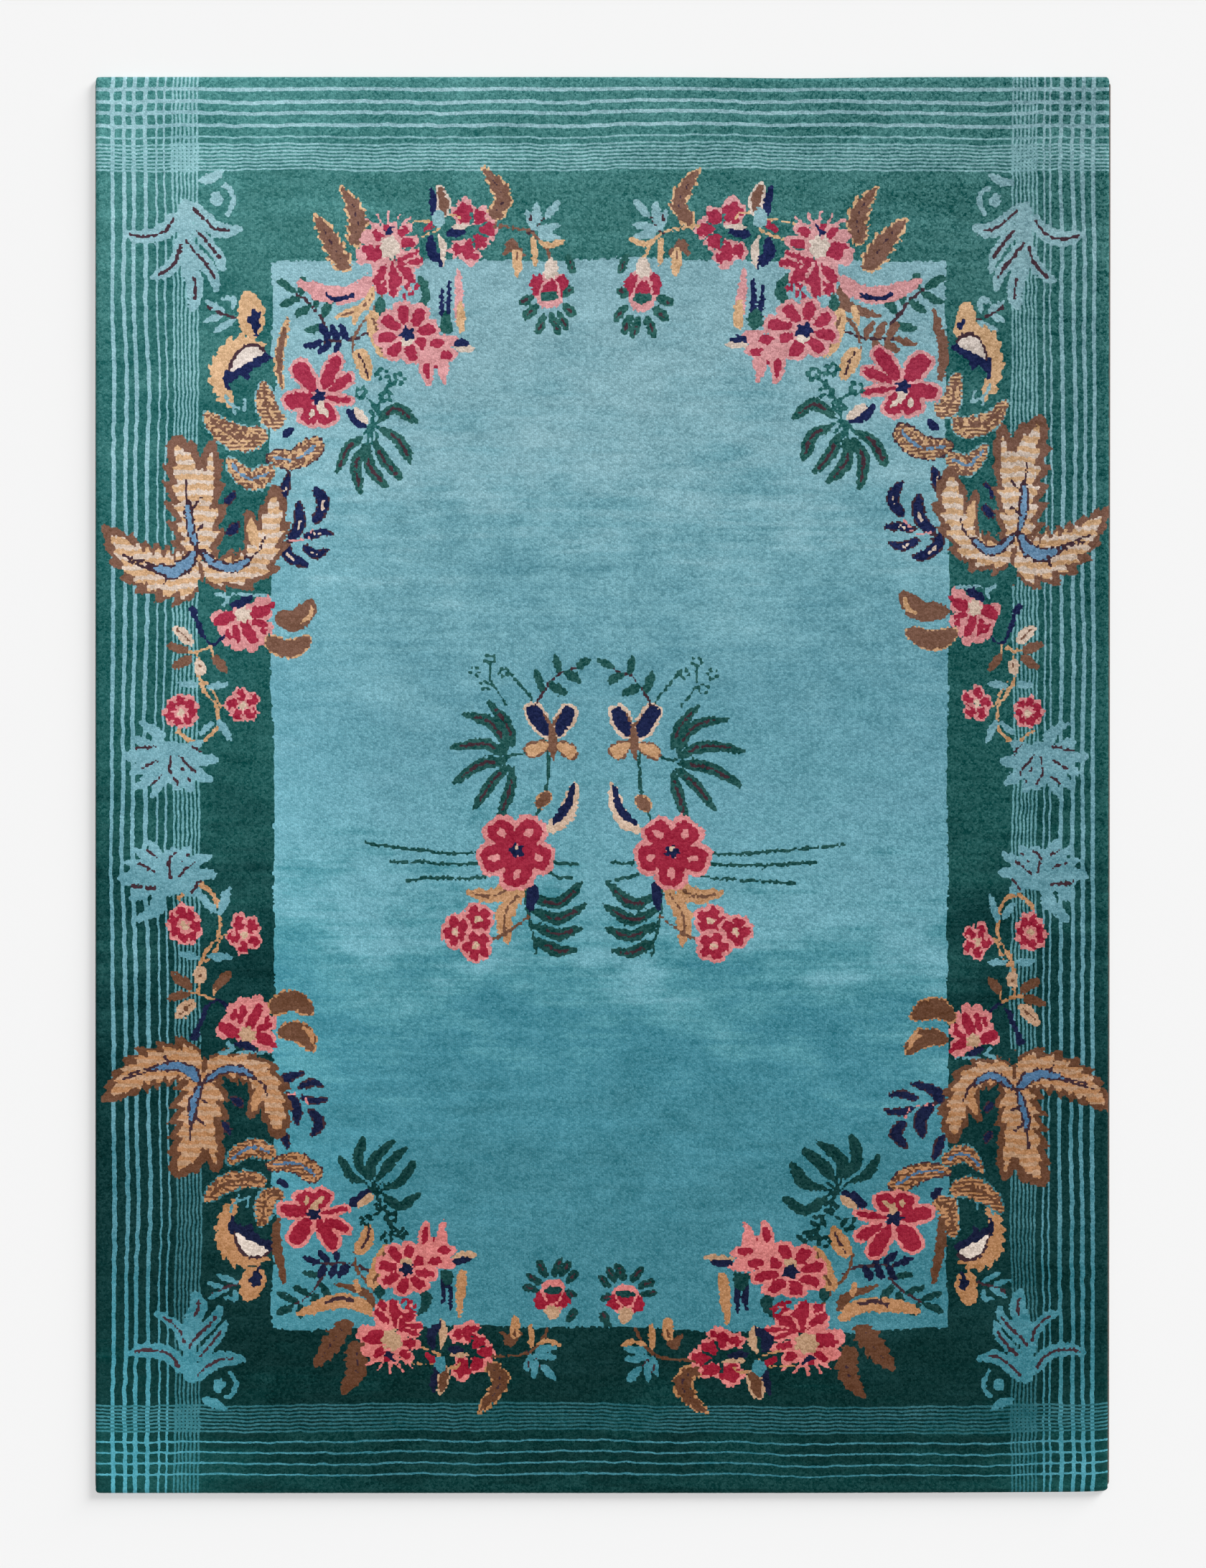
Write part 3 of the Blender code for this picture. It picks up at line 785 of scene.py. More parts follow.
# Leafy twigs at the top.
line([(11.5, 22), (8, 27.5), (3.6, 29.6)], 0.45, WINE)
for base, tip in (((10, 25), (11.6, 29.2)), ((9, 26.6), (5.6, 24.4)), ((7, 28.4), (7.6, 32.4)),
        ((6, 28.8), (2.6, 26.6)), ((4, 29.4), (0.8, 31.6))):
    leaf([base, tip], 1.7, LEAF)
in_middle = False

# The finished pile follows the drifting edges of the rug, and its rim is let down to the floor.
# Two more knots than the chart's are needed all round for that.
WIDTH, LENGTH = 2.000, 2.790
CORNER = 0.013
SKIRT = 2
STEP_X, STEP_Y = KNOT_X / 100, KNOT_Y / 100
# The rim's profile in millimetres, out from the level face and up from the floor: at the ends it
# goes down nearly to the floor, and at the sides it goes in over the binding.
SHOULDER = [(0, 13.0), (2.6, 12.7), (4.9, 11.6), (7.2, 9.5)]
END_RIM = np.array([*SHOULDER, (8.4, 6.5), (8.2, 5.0), (7.6, 3.0), (6.8, 1.2)]) / 1000
SIDE_RIM = np.array([*SHOULDER, (8.4, 6.9), (8.1, 6.0), (7.2, 5.6), (4.4, 5.5)]) / 1000
RIM_REACH = 0.0084
# How far the pile's edge lies inside the true rectangle, and how high its face swells and sinks.
INSET_LEFT, INSET_RIGHT, INSET_ENDS = 0.0008, 0.0028, 0.0004
SWELL, SWELL_FADE, RIM_STRAY = 0.0006, 0.12, 0.3
# How far the real outline leaves the true rectangle.
NARROWING, DIP, DIP_AT, DIP_REACH, LIFT, CORNER_LIFT = 0.0030, 0.0025, 0.38, 0.16, 0.0030, 0.0035


def drift(x, y):
    """Where a point of the true rectangle lies on the real rug: the right side closes in towards
    the near end, the far end dips once, and the near right corner is drawn in."""
    across = np.maximum(x / (WIDTH / 2), 0)
    along = y / (LENGTH / 2)
    narrower = NARROWING * (1 - along) / 2 * across
    dip = DIP * np.exp(-(((x - DIP_AT) / DIP_REACH) ** 2)) * np.maximum(along, 0)
    lift = (LIFT * across**3 + CORNER_LIFT * across**60) * np.maximum(-along, 0)
    return x - narrower, y - dip + lift


def lay(x, y, height):
    """The chart's sheet laid on the rug. Within the face a point keeps its place. Beyond it, its
    distance out is an arc length down the rim's profile, turned round the corner's centre."""
    inner_x, inner_y = WIDTH / 2 - CORNER, LENGTH / 2 - CORNER
    out_x, out_y = np.maximum(np.abs(x) - inner_x, 0), np.maximum(np.abs(y) - inner_y, 0)
    ring = np.maximum(out_x, out_y)
    apart = np.maximum((out_x**4 + out_y**4) ** 0.25, 1e-9)
    flat = CORNER - RIM_REACH
    arc = np.maximum(ring - flat, 0)
    place = []
    for profile in (END_RIM, SIDE_RIM):
        run = np.concatenate([[0], np.cumsum(np.hypot(*np.diff(profile, axis=0).T))])
        place.append((np.interp(arc, run, profile[:, 0]), np.interp(arc, run, profile[:, 1])))
    side_share = (out_x / apart) ** 4
    out = place[0][0] * (1 - side_share) + place[1][0] * side_share
    low = place[0][1] * (1 - side_share) + place[1][1] * side_share
    radius = np.minimum(ring, flat) + out
    px = np.sign(x) * (np.minimum(np.abs(x), inner_x) + radius * out_x / apart)
    py = np.sign(y) * (np.minimum(np.abs(y), inner_y) + radius * out_y / apart)
    inset = np.where(x > 0, INSET_RIGHT, INSET_LEFT)
    px, py = drift(px * (1 - inset / (WIDTH / 2)), py * (1 - INSET_ENDS / (LENGTH / 2)))
    fade = np.clip(np.minimum(WIDTH / 2 - np.abs(px), LENGTH / 2 - np.abs(py)) / SWELL_FADE, 0, 1)
    slow = np.sin(3.1 * px + 1.0) * np.cos(2.3 * py - 0.4) + 0.6 * np.sin(6.7 * px - 4.9 * py)
    above = np.where(ring > flat, RIM_STRAY, 1.0) * height
    return np.stack([px, py, low + SWELL * fade * slow + above], axis=1)


def boundaries(cells):
    """True for each edge of the squared chart that parts two yarns: those along a row of knots,
    and those along a column."""
    along_row = np.zeros((cells.shape[0] + 1, cells.shape[1]), bool)
    along_row[1:-1] = cells[1:] != cells[:-1]
    along_row[[0, -1]] = True
    along_column = np.zeros((cells.shape[0], cells.shape[1] + 1), bool)
    along_column[:, 1:-1] = cells[:, 1:] != cells[:, :-1]
    along_column[:, [0, -1]] = True
    return along_row, along_column


COARSE, RIM_ROWS = 3, 7


def net_of(cells):
    """Triangles between the knots' corners, with every change of yarn kept as an edge: a fine net
    along those edges and round the rim, and a coarse one, three knots a step, inside a colour."""
    along_row, along_column = boundaries(cells)
    rows, columns = cells.shape[0] + 1, cells.shape[1] + 1
    kept = np.zeros((rows, columns), bool)
    kept[:, :-1] |= along_row
    kept[:, 1:] |= along_row
    kept[:-1] |= along_column
    kept[1:] |= along_column
    kept[::COARSE, ::COARSE] = True
    for border in (kept, kept[::-1], kept.T, kept.T[::-1]):
        border[:RIM_ROWS] = True
    number = np.cumsum(kept).reshape(kept.shape) - 1
    r, c = np.nonzero(kept)
    er, ec = np.nonzero(along_row)
    fr, fc = np.nonzero(along_column)
    edges = np.concatenate([
        np.stack([number[er, ec], number[er, ec + 1]], axis=1),
        np.stack([number[fr, fc], number[fr + 1, fc]], axis=1),
    ])
    corners = [(float(a), float(b)) for a, b in zip(c, r)]
    found = delaunay_2d_cdt(corners, edges.tolist(), [], 0, 1e-5)
    at = np.rint(np.array([tuple(p) for p in found[0]])).astype(int)
    faces = np.array(found[2])
    middle = at[faces].mean(axis=1)
    yarn = cells[middle[:, 1].astype(int), middle[:, 0].astype(int)]
    return at, faces, yarn, along_row, along_column


cells = np.pad(chart, SKIRT, mode="edge")
at, faces, yarn, along_row, along_column = net_of(cells)

# Where just two edges of a colour meet, their corner is eased in towards the line between their
# far ends, as cut tufts lean together, and every corner strays a little. Shares are of a knot.
EASE, STRAY, STRAY_HEIGHT = 0.32, 0.10, 0.00012
links = np.zeros((cells.shape[0] + 1, cells.shape[1] + 1))
shift = np.zeros(links.shape + (2,))
links[:, :-1] += along_row
links[:, 1:] += along_row
links[:-1] += along_column
links[1:] += along_column
shift[:, :-1, 0] += along_row
shift[:, 1:, 0] -= along_row
shift[:-1, :, 1] += along_column
shift[1:, :, 1] -= along_column
shift *= EASE / 2 * (links == 2)[..., None]
shift += random.normal(0, STRAY, shift.shape)
shift[[0, -1]], shift[:, [0, -1]] = 0, 0
eased = shift[at[:, 1], at[:, 0]]
sheet_x = (at[:, 0] - SKIRT + eased[:, 0]) * STEP_X - WIDTH / 2
sheet_y = (at[:, 1] - SKIRT + eased[:, 1]) * STEP_Y - LENGTH / 2
from_edge = np.minimum(WIDTH / 2 - np.abs(sheet_x), LENGTH / 2 - np.abs(sheet_y))
loose = 0.0017 * np.clip((from_edge - 0.012) / 0.03, 0, 1)
roam = 0.0030 * np.clip((from_edge - 0.006) / 0.05, 0, 1)


def pulled(own, seed):
    """One coordinate of the corners, drawn about by the hand that knots: waves 24 and 5 cm long,
    and a slow one of 90 cm, all of them held still at the edges."""
    near = waves(sheet_x, sheet_y, 0.24, seed) + 0.5 * waves(sheet_x, sheet_y, 0.05, seed + 2)
    return own + loose * near + roam * waves(sheet_x, sheet_y, 0.9, seed + 4)


sheet_x, sheet_y = pulled(sheet_x, 31), pulled(sheet_y, 32)
knot_corners = lay(sheet_x, sheet_y, random.normal(0, STRAY_HEIGHT, len(at)))


def build(name, places, faces, material, chart_places=None):
    """A mesh object from whole arrays. With chart places, its OFBake map is its own part of the
    flat sheet, fitted to the square."""
    mesh = bpy.data.meshes.new(name)
    count, sides = faces.shape
    mesh.vertices.add(len(places))
    mesh.vertices.foreach_set("co", np.ascontiguousarray(places, np.float32).ravel())
    mesh.loops.add(count * sides)
    mesh.loops.foreach_set("vertex_index", np.ascontiguousarray(faces, np.int32).ravel())
    mesh.polygons.add(count)
    mesh.polygons.foreach_set("loop_start", np.arange(0, count * sides, sides, dtype=np.int32))
    mesh.update(calc_edges=True)
    mesh.polygons.foreach_set("use_smooth", np.ones(count, bool))
    if chart_places is not None:
        low, high = chart_places.min(axis=0), chart_places.max(axis=0)
        fitted = 0.01 + 0.98 * (chart_places - low) / (high - low)
        layer = mesh.uv_layers.new(name="OFBake")
        layer.uv.foreach_set("vector", fitted[faces.ravel()].astype(np.float32).ravel())
    mesh.materials.append(material)
    thing = bpy.data.objects.new(name, mesh)
    bpy.context.scene.collection.objects.link(thing)
    return thing


class Strand:
    """One value in a material's node tree. Arithmetic on it adds Math nodes, and `node` adds any
    other node: its type, its settings, and the values or strands of its sockets."""

    def __init__(self, tree, socket=None):
        self.tree, self.socket = tree, socket

    def node(self, kind, settings, sockets, out=0):
        made = self.tree.nodes.new(kind)
        for name, setting in settings.items():
            if name == "stops":
                ramp = made.color_ramp.elements
                while len(ramp) < len(setting):
                    ramp.new(0.5)
                for stop, (where, colour) in zip(ramp, sorted(setting)):
                    stop.position, stop.color = where, (*colour, 1)
            else:
                setattr(made, name, setting)
        for name, value in sockets.items():
            if isinstance(value, Strand):
                self.tree.links.new(value.socket, made.inputs[name])
            else:
                made.inputs[name].default_value = value
        return Strand(self.tree, made.outputs[out] if len(made.outputs) else None)

    def also(self, name):
        """Another output of the node that this strand comes from."""
        return Strand(self.tree, self.socket.node.outputs[name])

    def maths(self, operation, *values):
        return self.node("ShaderNodeMath", {"operation": operation}, dict(enumerate(values)))

    def __add__(self, other):
        return self.maths("ADD", self, other)

    def __sub__(self, other):
        return self.maths("SUBTRACT", self, other)

    def __rsub__(self, other):
        return self.maths("SUBTRACT", other, self)

    def __mul__(self, other):
        return self.maths("MULTIPLY", self, other)

    __radd__, __rmul__ = __add__, __mul__


def linear(colour):
    """A colour as seen on a screen, 0 to 255, as the light that it stands for."""
    c = np.array(colour) / 255
    return tuple(float(v) for v in np.where(c < 0.04045, c / 12.92, ((c + 0.055) / 1.055) ** 2.4))


def undyed(name):
    """A material without nodes, and the strand of each point's place on the object's own axes."""
    material = bpy.data.materials.new(name)
    material.use_nodes = True
    material.node_tree.nodes.clear()
    return material, Strand(material.node_tree).node("ShaderNodeTexCoord", {}, {}, "Object")


def surface(colour, sockets):
    """Ends a material with a surface of that colour."""
    finish = colour.node("ShaderNodeBsdfPrincipled", {}, {"Base Color": colour, **sockets})
    finish.node("ShaderNodeOutputMaterial", {}, {0: finish})


def wool(name, stops, painted_side_shade, grain, left_light):
    """Cut wool pile. Its colour changes along the rug (colour stops, 0 near end to 1 far end),
    lighter towards the far end: painted sheen of the nap, with some drift of the dye. The dye
    also drifts a little across it, in streaks along the rows of knots; each knot has its own
    shade, and painted shade darkens it between the tufts; and painted sheen lies in cloudy
    patches, lighter and darker where the nap lies different ways. Scales are in waves to the
    metre."""
    material, place = undyed(name)
    across = place.node("ShaderNodeSeparateXYZ", {}, {0: place})
    along = across.also("Y")

    def scaled(x, y, z):
        return place.node("ShaderNodeMapping", {}, {0: place, "Scale": (x, y, z)})

    def noise(x, y, z, detail=2.0, rough=0.5):
        sockets = {"Vector": scaled(x, y, z), "Scale": 1.0, "Detail": detail, "Roughness": rough}
        return place.node("ShaderNodeTexNoise", {}, sockets)

    knots = scaled(100 / KNOT_X, 100 / KNOT_Y, 240.0)
    tuft = {"Vector": knots, "Scale": 1.0, "Randomness": 0.85}
    tuft_gap = place.node("ShaderNodeTexVoronoi", {}, tuft)
    tuft_shade = tuft_gap.node("ShaderNodeSeparateColor", {}, {0: tuft_gap.also("Color")})
    fibre = noise(820, 820, 820, 1.0)
    streak = noise(2.6, 46, 3, 3.0, 0.65)
    cloud = noise(5.5, 10.0, 8.5, 4.0, 0.6)
    nap = noise(19, 34, 19, 3.0, 0.65)
    broad = noise(2.2, 2.2, 2.2, 2.0)
    # The ramp's place along the rug is painted sheen of the nap, lighter towards the far end;
    # streak and broad drift the dye itself, and cloud adds painted sheen in patches.
    drift_of_dye_and_sheen = (streak - 0.5) * 0.20, (cloud - 0.5) * 0.32, (broad - 0.5) * 0.10
    tint = sum(drift_of_dye_and_sheen, along * (1 / LENGTH) + 0.5)
    ramp = {"stops": [(t, linear(c)) for t, c in stops]}
    colour = tint.node("ShaderNodeValToRGB", ramp, {0: tint})
    # Random tone of each tuft, of the fibres and of the dye's streaks, painted sheen in cloudy
    # patches of the nap, and painted shade in the gaps between the tufts.
    rough = (
        (tuft_shade - 0.5) * (0.46 * grain)
        + (fibre - 0.5) * (0.56 * grain)
        + (streak - 0.5) * 0.25
        + (cloud - 0.5) * 0.45
        + (nap - 0.5) * 0.52
        - tuft_gap * 0.16
    )
    # Painted shade: the pile is lighter to the left and darker to the right, mostly towards the
    # far end, as the light falls on the leaning nap.
    shade = rough * 0.72 + 1.05 + across * (painted_side_shade[0] + along * painted_side_shade[1])
    # The nap catches more light in the near corners, and some of it along the left edge.
    corner_from, corner_light, left_from = 1.95, 2.1, 0.40
    to_side = shade.maths("ABSOLUTE", across - 0.1)
    shade = shade + shade.maths("MAXIMUM", to_side - along - corner_from, 0.0) * corner_light
    if left_light:
        shade = shade + shade.maths("MAXIMUM", across * -1.0 - left_from, 0.0) * left_light
    dyed = shade.node("ShaderNodeVectorMath", {"operation": "SCALE"}, {0: colour, "Scale": shade})
    # Painted sheen: a pale grey veil of the fibre tips, added over the colour and varying with the
    # same marks.
    painted_tip_sheen = colour.node("ShaderNodeRGBToBW", {}, {0: colour}) * (rough * 0.30 + 0.02)
    toned = dyed.node("ShaderNodeVectorMath", {"operation": "ADD"}, {0: dyed, 1: painted_tip_sheen})
    height = fibre * 0.6 - tuft_gap
    relief = {"Strength": 0.55, "Distance": 0.0011, "Height": height}
    surface(toned, {
        "Roughness": 0.95, "Normal": height.node("ShaderNodeBump", {}, relief),
        "Sheen Weight": 0.03, "Sheen Roughness": 0.6, "Specular IOR Level": 0.0})
    return material


# For each yarn: its piece's name, how its painted shade changes to the right and more so
# towards the far end, how strong its grain is, how much light the left edge gains, and its
# colours along the rug, lighter towards the far end as painted sheen of the nap, with some
# drift of the dye.
yarns = {
    FIELD: ("field_pile", (-0.06, 0.0), 1.0, 0.8, [(0.183, (68, 129, 142)),
        (0.305, (70, 135, 150)), (0.365, (83, 147, 159)), (0.426, (107, 164, 177)),
        (0.548, (99, 153, 167)), (0.67, (113, 164, 176)), (0.73, (127, 172, 183)),
        (0.81, (131, 172, 182))]),
    GREEN: ("border_pile", (-0.10, -0.13), 1.8, 0.0, [(0.0, (20, 62, 61)), (0.03, (12, 51, 50)),
        (0.08, (11, 45, 44)), (0.19, (17, 54, 54)), (0.29, (12, 50, 50)), (0.37, (18, 60, 60)),
        (0.5, (34, 85, 83)), (0.75, (42, 97, 96)), (0.88, (60, 114, 112)), (1.0, (71, 128, 127))]),
    ICE: ("ice_blue_pile", (-0.12, -0.08), 1.0, 0.0, [(0.0, (60, 121, 133)),
        (0.12, (66, 128, 141)), (0.5, (113, 161, 173)), (1.0, (143, 182, 190))]),
    LEAF: ("leaf_green_pile", (-0.10, -0.05), 1.8, 0.0,
        [(0.0, (20, 56, 56)), (0.3, (24, 64, 62)), (0.6, (38, 84, 81)), (1.0, (50, 100, 94))]),
    RED: ("crimson_pile", (-0.10, -0.05), 1.0, 0.0, [(0.0, (140, 26, 44)), (0.5, (154, 40, 62)),
        (1.0, (164, 54, 81))]),
    PINK: ("rose_pile", (-0.10, -0.05), 1.0, 0.0, [(0.0, (205, 115, 110)), (0.5, (208, 136, 137)),
        (1.0, (212, 159, 162))]),
    TAN: ("tan_pile", (-0.10, -0.05), 1.0, 0.0, [(0.0, (176, 128, 88)), (0.3, (176, 128, 90)),
        (0.5, (190, 147, 110)), (0.7, (204, 166, 128)), (1.0, (212, 174, 136))]),
    BROWN: ("brown_pile", (-0.10, -0.05), 1.0, 0.0, [(0.0, (96, 62, 44)), (0.3, (100, 67, 49)),
        (0.5, (116, 83, 67)), (1.0, (125, 92, 80))]),
    CREAM: ("cream_pile", (-0.10, -0.05), 1.0, 0.0, [(0.0, (180, 144, 114)),
        (0.3, (182, 145, 116)), (0.45, (202, 173, 150)), (0.7, (208, 190, 176)),
        (1.0, (216, 202, 192))]),
    NAVY: ("navy_pile", (-0.10, -0.05), 1.8, 0.0, [(0.0, (21, 27, 48)), (0.5, (26, 34, 68)),
        (1.0, (32, 42, 86))]),
    BLUE: ("mid_blue_pile", (-0.10, -0.05), 1.0, 0.0, [(0.0, (70, 106, 140)),
        (0.3, (78, 114, 148)), (0.5, (100, 137, 168)), (1.0, (116, 150, 182))]),
    MIXED: ("mixed_blue_pile", (-0.12, -0.08), 1.0, 0.0,
        [(0.0, (42, 96, 103)), (0.12, (49, 101, 109)), (0.25, (67, 120, 128)),
        (0.5, (104, 158, 166)), (1.0, (134, 179, 185))]),
    WINE: ("wine_pile", (-0.10, -0.05), 1.0, 0.0, [(0.0, (60, 42, 48)), (0.5, (64, 44, 52)),
        (1.0, (72, 52, 62))]),
    WHITE: ("white_pile", (-0.10, -0.05), 1.0, 0.0, [(0.0, (220, 204, 190)),
        (0.5, (214, 200, 190)), (1.0, (218, 206, 198))]),
}
for number, (name, painted_side_shade, grain, left_light, stops) in yarns.items():
    used, own = np.unique(faces[yarn == number], return_inverse=True)
    material = wool(name, stops, painted_side_shade, grain, left_light)
    chart_places = np.stack([sheet_x, sheet_y], axis=1)[used]
    piece = build(name, knot_corners[used], own.reshape(-1, 3), material, chart_places)
    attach(piece, "root")
    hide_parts("rug_body")

# The ground cloth is the woven cotton warp and weft that the knots are tied to. Its back shows
# the knots' loops in rows. It stops short of the sides, where the bindings are sewn on.
CLOTH_INSET_SIDES, CLOTH_INSET_ENDS, CLOTH_THICK = 0.0064, 0.0030, 0.0036


def cloth_slab():
    """A closed slab: a grid over the rug's own outline, drawn in all round, is the top; the same
    grid on the floor, turned over, is the back; and a wall joins their edges."""
    columns, rows = 60, 84
    x = np.linspace(-1, 1, columns + 1)
    y = np.linspace(-1, 1, rows + 1)
    gx, gy = np.meshgrid(x, y)
    half_x, half_y = WIDTH / 2 - CLOTH_INSET_SIDES, LENGTH / 2 - CLOTH_INSET_ENDS
    px, py = drift(gx * half_x, gy * half_y)
    top = np.stack([px, py, np.full(px.shape, CLOTH_THICK)], axis=-1).reshape(-1, 3)
    low = top * [1, 1, 0]
    index = np.arange((rows + 1) * (columns + 1)).reshape(rows + 1, columns + 1)
    up = np.stack([index[:-1, :-1], index[:-1, 1:], index[1:, 1:], index[1:, :-1]], axis=-1)
    up = up.reshape(-1, 4)
    down = up[:, ::-1] + len(top)
    loop = np.concatenate([index[0, :-1], index[:-1, -1], index[-1, :0:-1], index[:0:-1, 0]])
    after = np.roll(loop, -1)
    wall = np.stack([loop + len(top), after + len(top), after, loop], axis=1)
    return np.concatenate([top, low]), np.concatenate([up, down, wall])


def woven_back(name):
    """The loops of the knots on the back: rows of small ovals in the colours of the field and its
    border, paler and duller than the pile, each darkened towards its edge by painted shade
    between the loops."""
    material, place = undyed(name)
    size = {"Scale": (200 / KNOT_X, 100 / KNOT_Y, 1.0)}
    loops = place.node("ShaderNodeMapping", {}, {0: place, **size})
    loop = {"Vector": loops, "Scale": 1.0, "Randomness": 0.25}
    oval = place.node("ShaderNodeTexVoronoi", {}, loop)
    tone = oval.node("ShaderNodeSeparateColor", {}, {0: oval.also("Color")})
    across = place.node("ShaderNodeSeparateXYZ", {}, {0: place})
    along = across.also("Y")
    from_middle_x = across.maths("ABSOLUTE", across - 0.01)
    from_middle_y = along.maths("ABSOLUTE", along + 0.015)
    half_field_x, half_field_y = 0.65, 1.05
    in_columns = across.maths("LESS_THAN", from_middle_x, half_field_x)
    inside = in_columns * along.maths("LESS_THAN", from_middle_y, half_field_y)
    border, field = (*linear((70, 100, 98)), 1), (*linear((128, 158, 166)), 1)
    parted = {0: inside, 6: border, 7: field}
    colour = inside.node("ShaderNodeMix", {"data_type": "RGBA"}, parted, 2)
    # Painted shade: each loop darkens towards its edge, where it meets the next.
    shade = 1.0 + (tone - 0.5) * 0.3 - oval * 0.55
    toned = shade.node("ShaderNodeVectorMath", {"operation": "SCALE"}, {0: colour, "Scale": shade})
    bump = {"Strength": 0.6, "Distance": 0.0008, "Height": oval}
    relief = oval.node("ShaderNodeBump", {"invert": True}, bump)
    surface(toned, {"Roughness": 0.92, "Normal": relief, "Specular IOR Level": 0.15})
    return material


ground_cloth = build("ground_cloth", *cloth_slab(), woven_back("knotted_back"))
cloth_faces = ground_cloth.data.polygons
cloth_faces.foreach_set("use_smooth", np.zeros(len(cloth_faces), bool))
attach(ground_cloth, "root")
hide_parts("rug_body")

# Each side binding is a thin cord of bundled warps, overcast with dark wool yarn and sewn under
# the edge of the pile. The yarn's turns lie close together and a little unevenly.
CORE, RIDGE, PITCH, AROUND = 0.00220, 0.00026, 0.0026, 12
CORD_IN, CORD_HIGH, CORD_SHORT, CORD_TAPER = 0.0026, 0.0026, 0.0125, 0.004


def overcast_cord(side):
    """A tube along the drifting side. Its radius rises and falls once for each turn of the yarn,
    and the turns slant: it is the core and the ridge times the sine's size, of pi times distance
    by pitch and half the angle."""
    reach = LENGTH / 2 - CORD_SHORT
    stations = np.arange(-reach, reach, PITCH / 2.2)
    angle = np.linspace(0, 2 * np.pi, AROUND, endpoint=False)
    y, turn = np.meshgrid(stations, angle, indexing="ij")
    stray = 0.08 * np.sin(y * 61) + 0.05 * np.sin(y * 173 + 1)
    ridge = np.abs(np.sin(np.pi * (y / PITCH + stray) + 0.5 * turn))
    ends = np.clip((reach - np.abs(y)) / CORD_TAPER, 0.35, 1) ** 0.5
    r = (CORE + RIDGE * ridge) * ends
    centre_x, centre_y = drift(side * (WIDTH / 2 - CORD_IN) + 0 * y, y)
    rings = [centre_x + r * np.cos(turn), centre_y, CORD_HIGH + r * np.sin(turn)]
    rings = np.stack(rings, axis=-1)
    index = np.arange(y.size).reshape(y.shape)
    beside = np.roll(index, -1, axis=1)
    skin = np.stack([index[:-1], index[1:], beside[1:], beside[:-1]], axis=-1).reshape(-1, 4)
    tips = np.stack([rings[0].mean(axis=0), rings[-1].mean(axis=0)])
    near = np.stack([index[0], beside[0], np.full(AROUND, y.size)], axis=1)
    far = np.stack([beside[-1], index[-1], np.full(AROUND, y.size + 1)], axis=1)
    triangles = np.concatenate([skin[:, [0, 1, 2]], skin[:, [0, 2, 3]], near, far])
    return np.concatenate([rings.reshape(-1, 3), tips]), triangles


def binding_yarn(name):
    """Dark overcasting wool: a grey brown that varies from turn to turn, with fine fibres."""
    material, place = undyed(name)
    turns = place.node("ShaderNodeMapping", {}, {0: place, "Scale": (60.0, 380.0, 60.0)})
    coarse, fine = {"Scale": 1.0, "Detail": 1.0}, {"Scale": 1900.0, "Detail": 2.0}
    turn_tone = place.node("ShaderNodeTexNoise", {}, {"Vector": turns, **coarse})
    fibre = place.node("ShaderNodeTexNoise", {}, {"Vector": place, **fine})
    shade = 1.0 + (turn_tone - 0.5) * 0.7 + (fibre - 0.5) * 0.6
    tint = {0: linear((98, 90, 84)), "Scale": shade}
    toned = shade.node("ShaderNodeVectorMath", {"operation": "SCALE"}, tint)
    bump = {"Strength": 0.5, "Distance": 0.0004, "Height": fibre}
    surface(toned, {
        "Roughness": 0.9, "Normal": fibre.node("ShaderNodeBump", {}, bump),
        "Sheen Weight": 0.1, "Specular IOR Level": 0.15})
    return material


overcast = binding_yarn("overcasting_wool")
for name, side in (("side_binding_left", -1), ("side_binding_right", 1)):
    cord = build("overcast_" + name, *overcast_cord(side), overcast)
    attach(cord, "root")
    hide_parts(name)

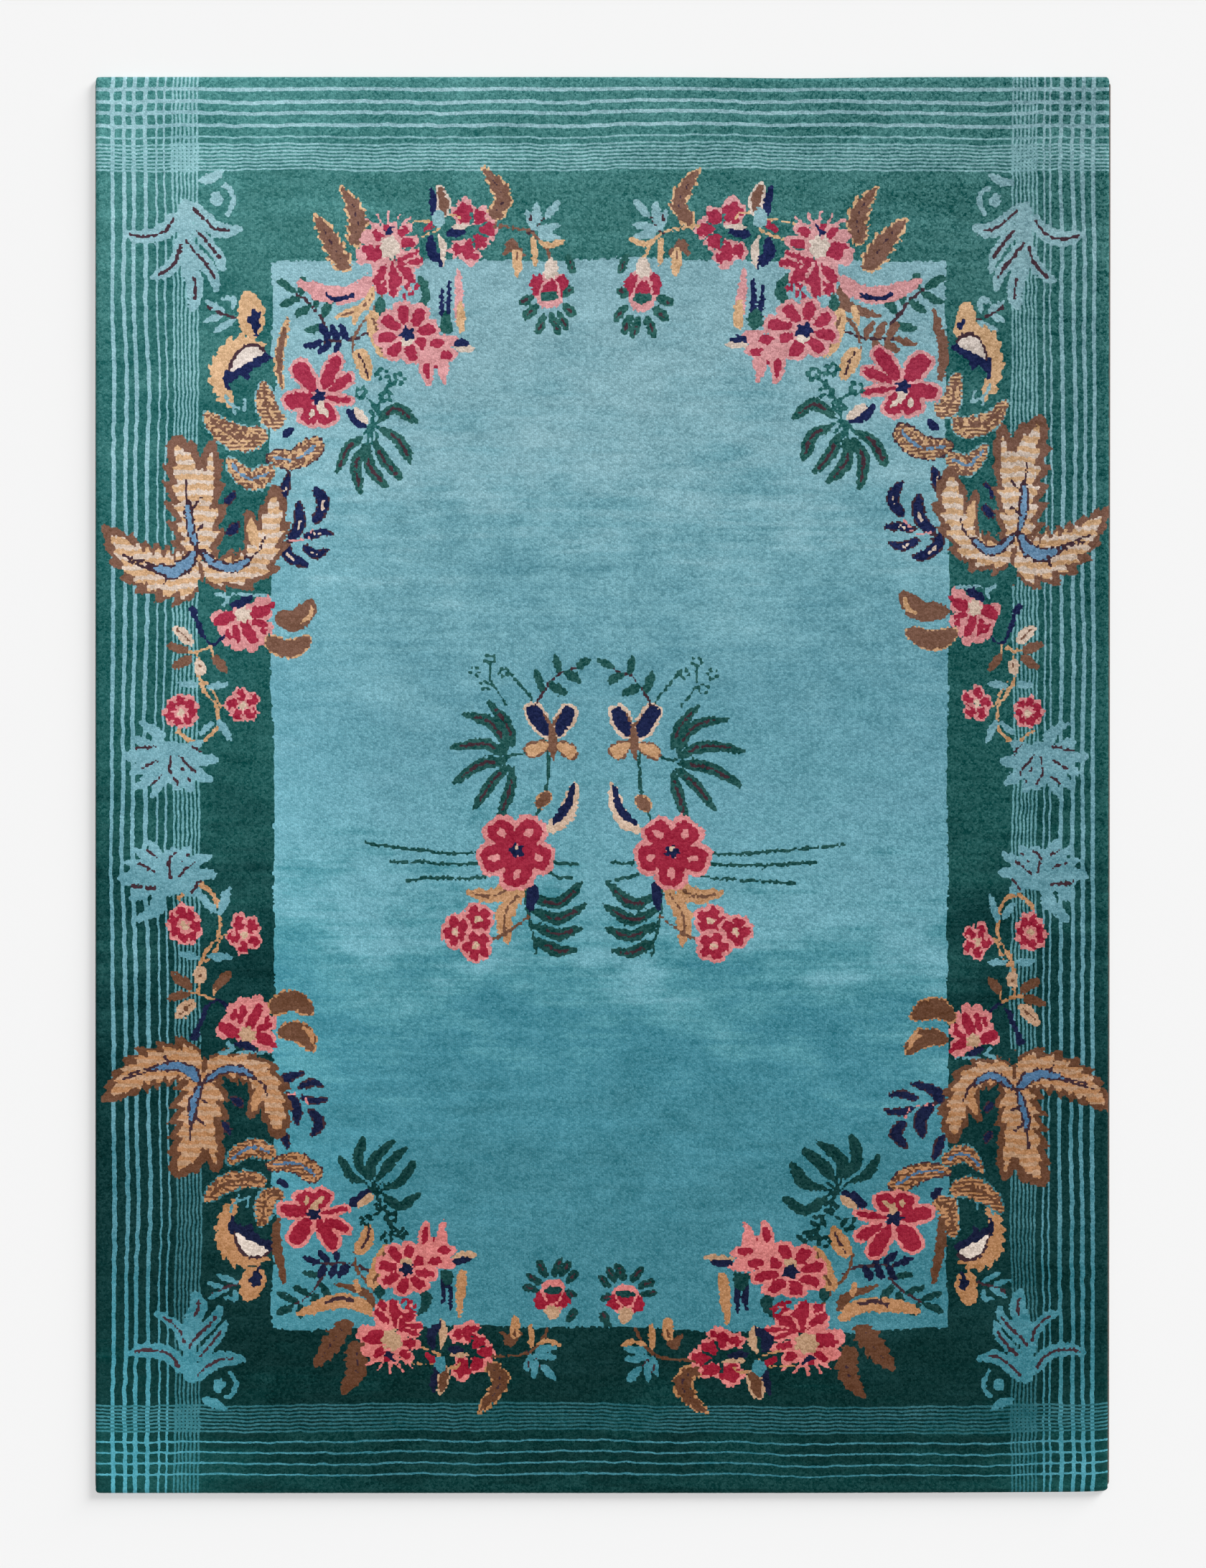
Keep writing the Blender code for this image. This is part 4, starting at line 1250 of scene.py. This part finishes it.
# A plain pale studio floor, a soft light overhead, a low one from the far right, a little even
# light from all round, and a camera straight above the middle of the rug.
FLOOR_HALF, FLOOR_GREY = 45, 0.9
floor_mesh = bpy.data.meshes.new("floor")
floor_corners = [(-1, -1), (1, -1), (1, 1), (-1, 1)]
floor_corners = [(x * FLOOR_HALF, y * FLOOR_HALF, 0) for x, y in floor_corners]
floor_mesh.from_pydata(floor_corners, [], [(0, 1, 2, 3)])
floor = bpy.data.objects.new("floor", floor_mesh)
bpy.context.scene.collection.objects.link(floor)
floor_paint = bpy.data.materials.new("floor_paint")
floor_paint.use_nodes = True
floor_sockets = floor_paint.node_tree.nodes["Principled BSDF"].inputs
floor_sockets["Base Color"].default_value = (FLOOR_GREY, FLOOR_GREY, FLOOR_GREY, 1)
floor_sockets["Roughness"].default_value = 0.9
floor_sockets["Specular IOR Level"].default_value = 0.0
floor_mesh.materials.append(floor_paint)

world = bpy.data.worlds.new("studio")
world.use_nodes = True
world.node_tree.nodes["Background"].inputs["Color"].default_value = (1, 1, 1, 1)
world.node_tree.nodes["Background"].inputs["Strength"].default_value = 0.22
bpy.context.scene.world = world

for name, energy, angle, turn in (
    ("overhead_softbox", 1.54, 24, (2.0, 3.0, 0.0)),
    ("far_window", 3.25, 30, (-42.4, 65.9, 0.0)),
):
    lamp_data = bpy.data.lights.new(name, "SUN")
    lamp_data.energy = energy
    lamp_data.angle = np.radians(angle)
    lamp = bpy.data.objects.new(name, lamp_data)
    lamp.rotation_euler = np.radians(turn)
    bpy.context.scene.collection.objects.link(lamp)

# The picture is so many pixels tall, and each is so many metres on the rug, of which the middle
# lies a little below the picture's middle.
PICTURE_TALL, PIXEL, FACE_HIGH, CAMERA_UP = 2185, 0.0014134, 0.0065, 0.002
camera_data = bpy.data.cameras.new("camera")
camera_data.sensor_fit = "VERTICAL"
camera_data.sensor_height = 36.0
camera_data.lens = 100.0
camera_data.clip_end = 100.0
camera_far = PICTURE_TALL * PIXEL * camera_data.lens / camera_data.sensor_height
camera = bpy.data.objects.new("camera", camera_data)
camera.location = (0.0, CAMERA_UP, FACE_HIGH + camera_far)
bpy.context.scene.collection.objects.link(camera)
bpy.context.scene.camera = camera
bpy.context.scene.view_settings.view_transform = "Standard"
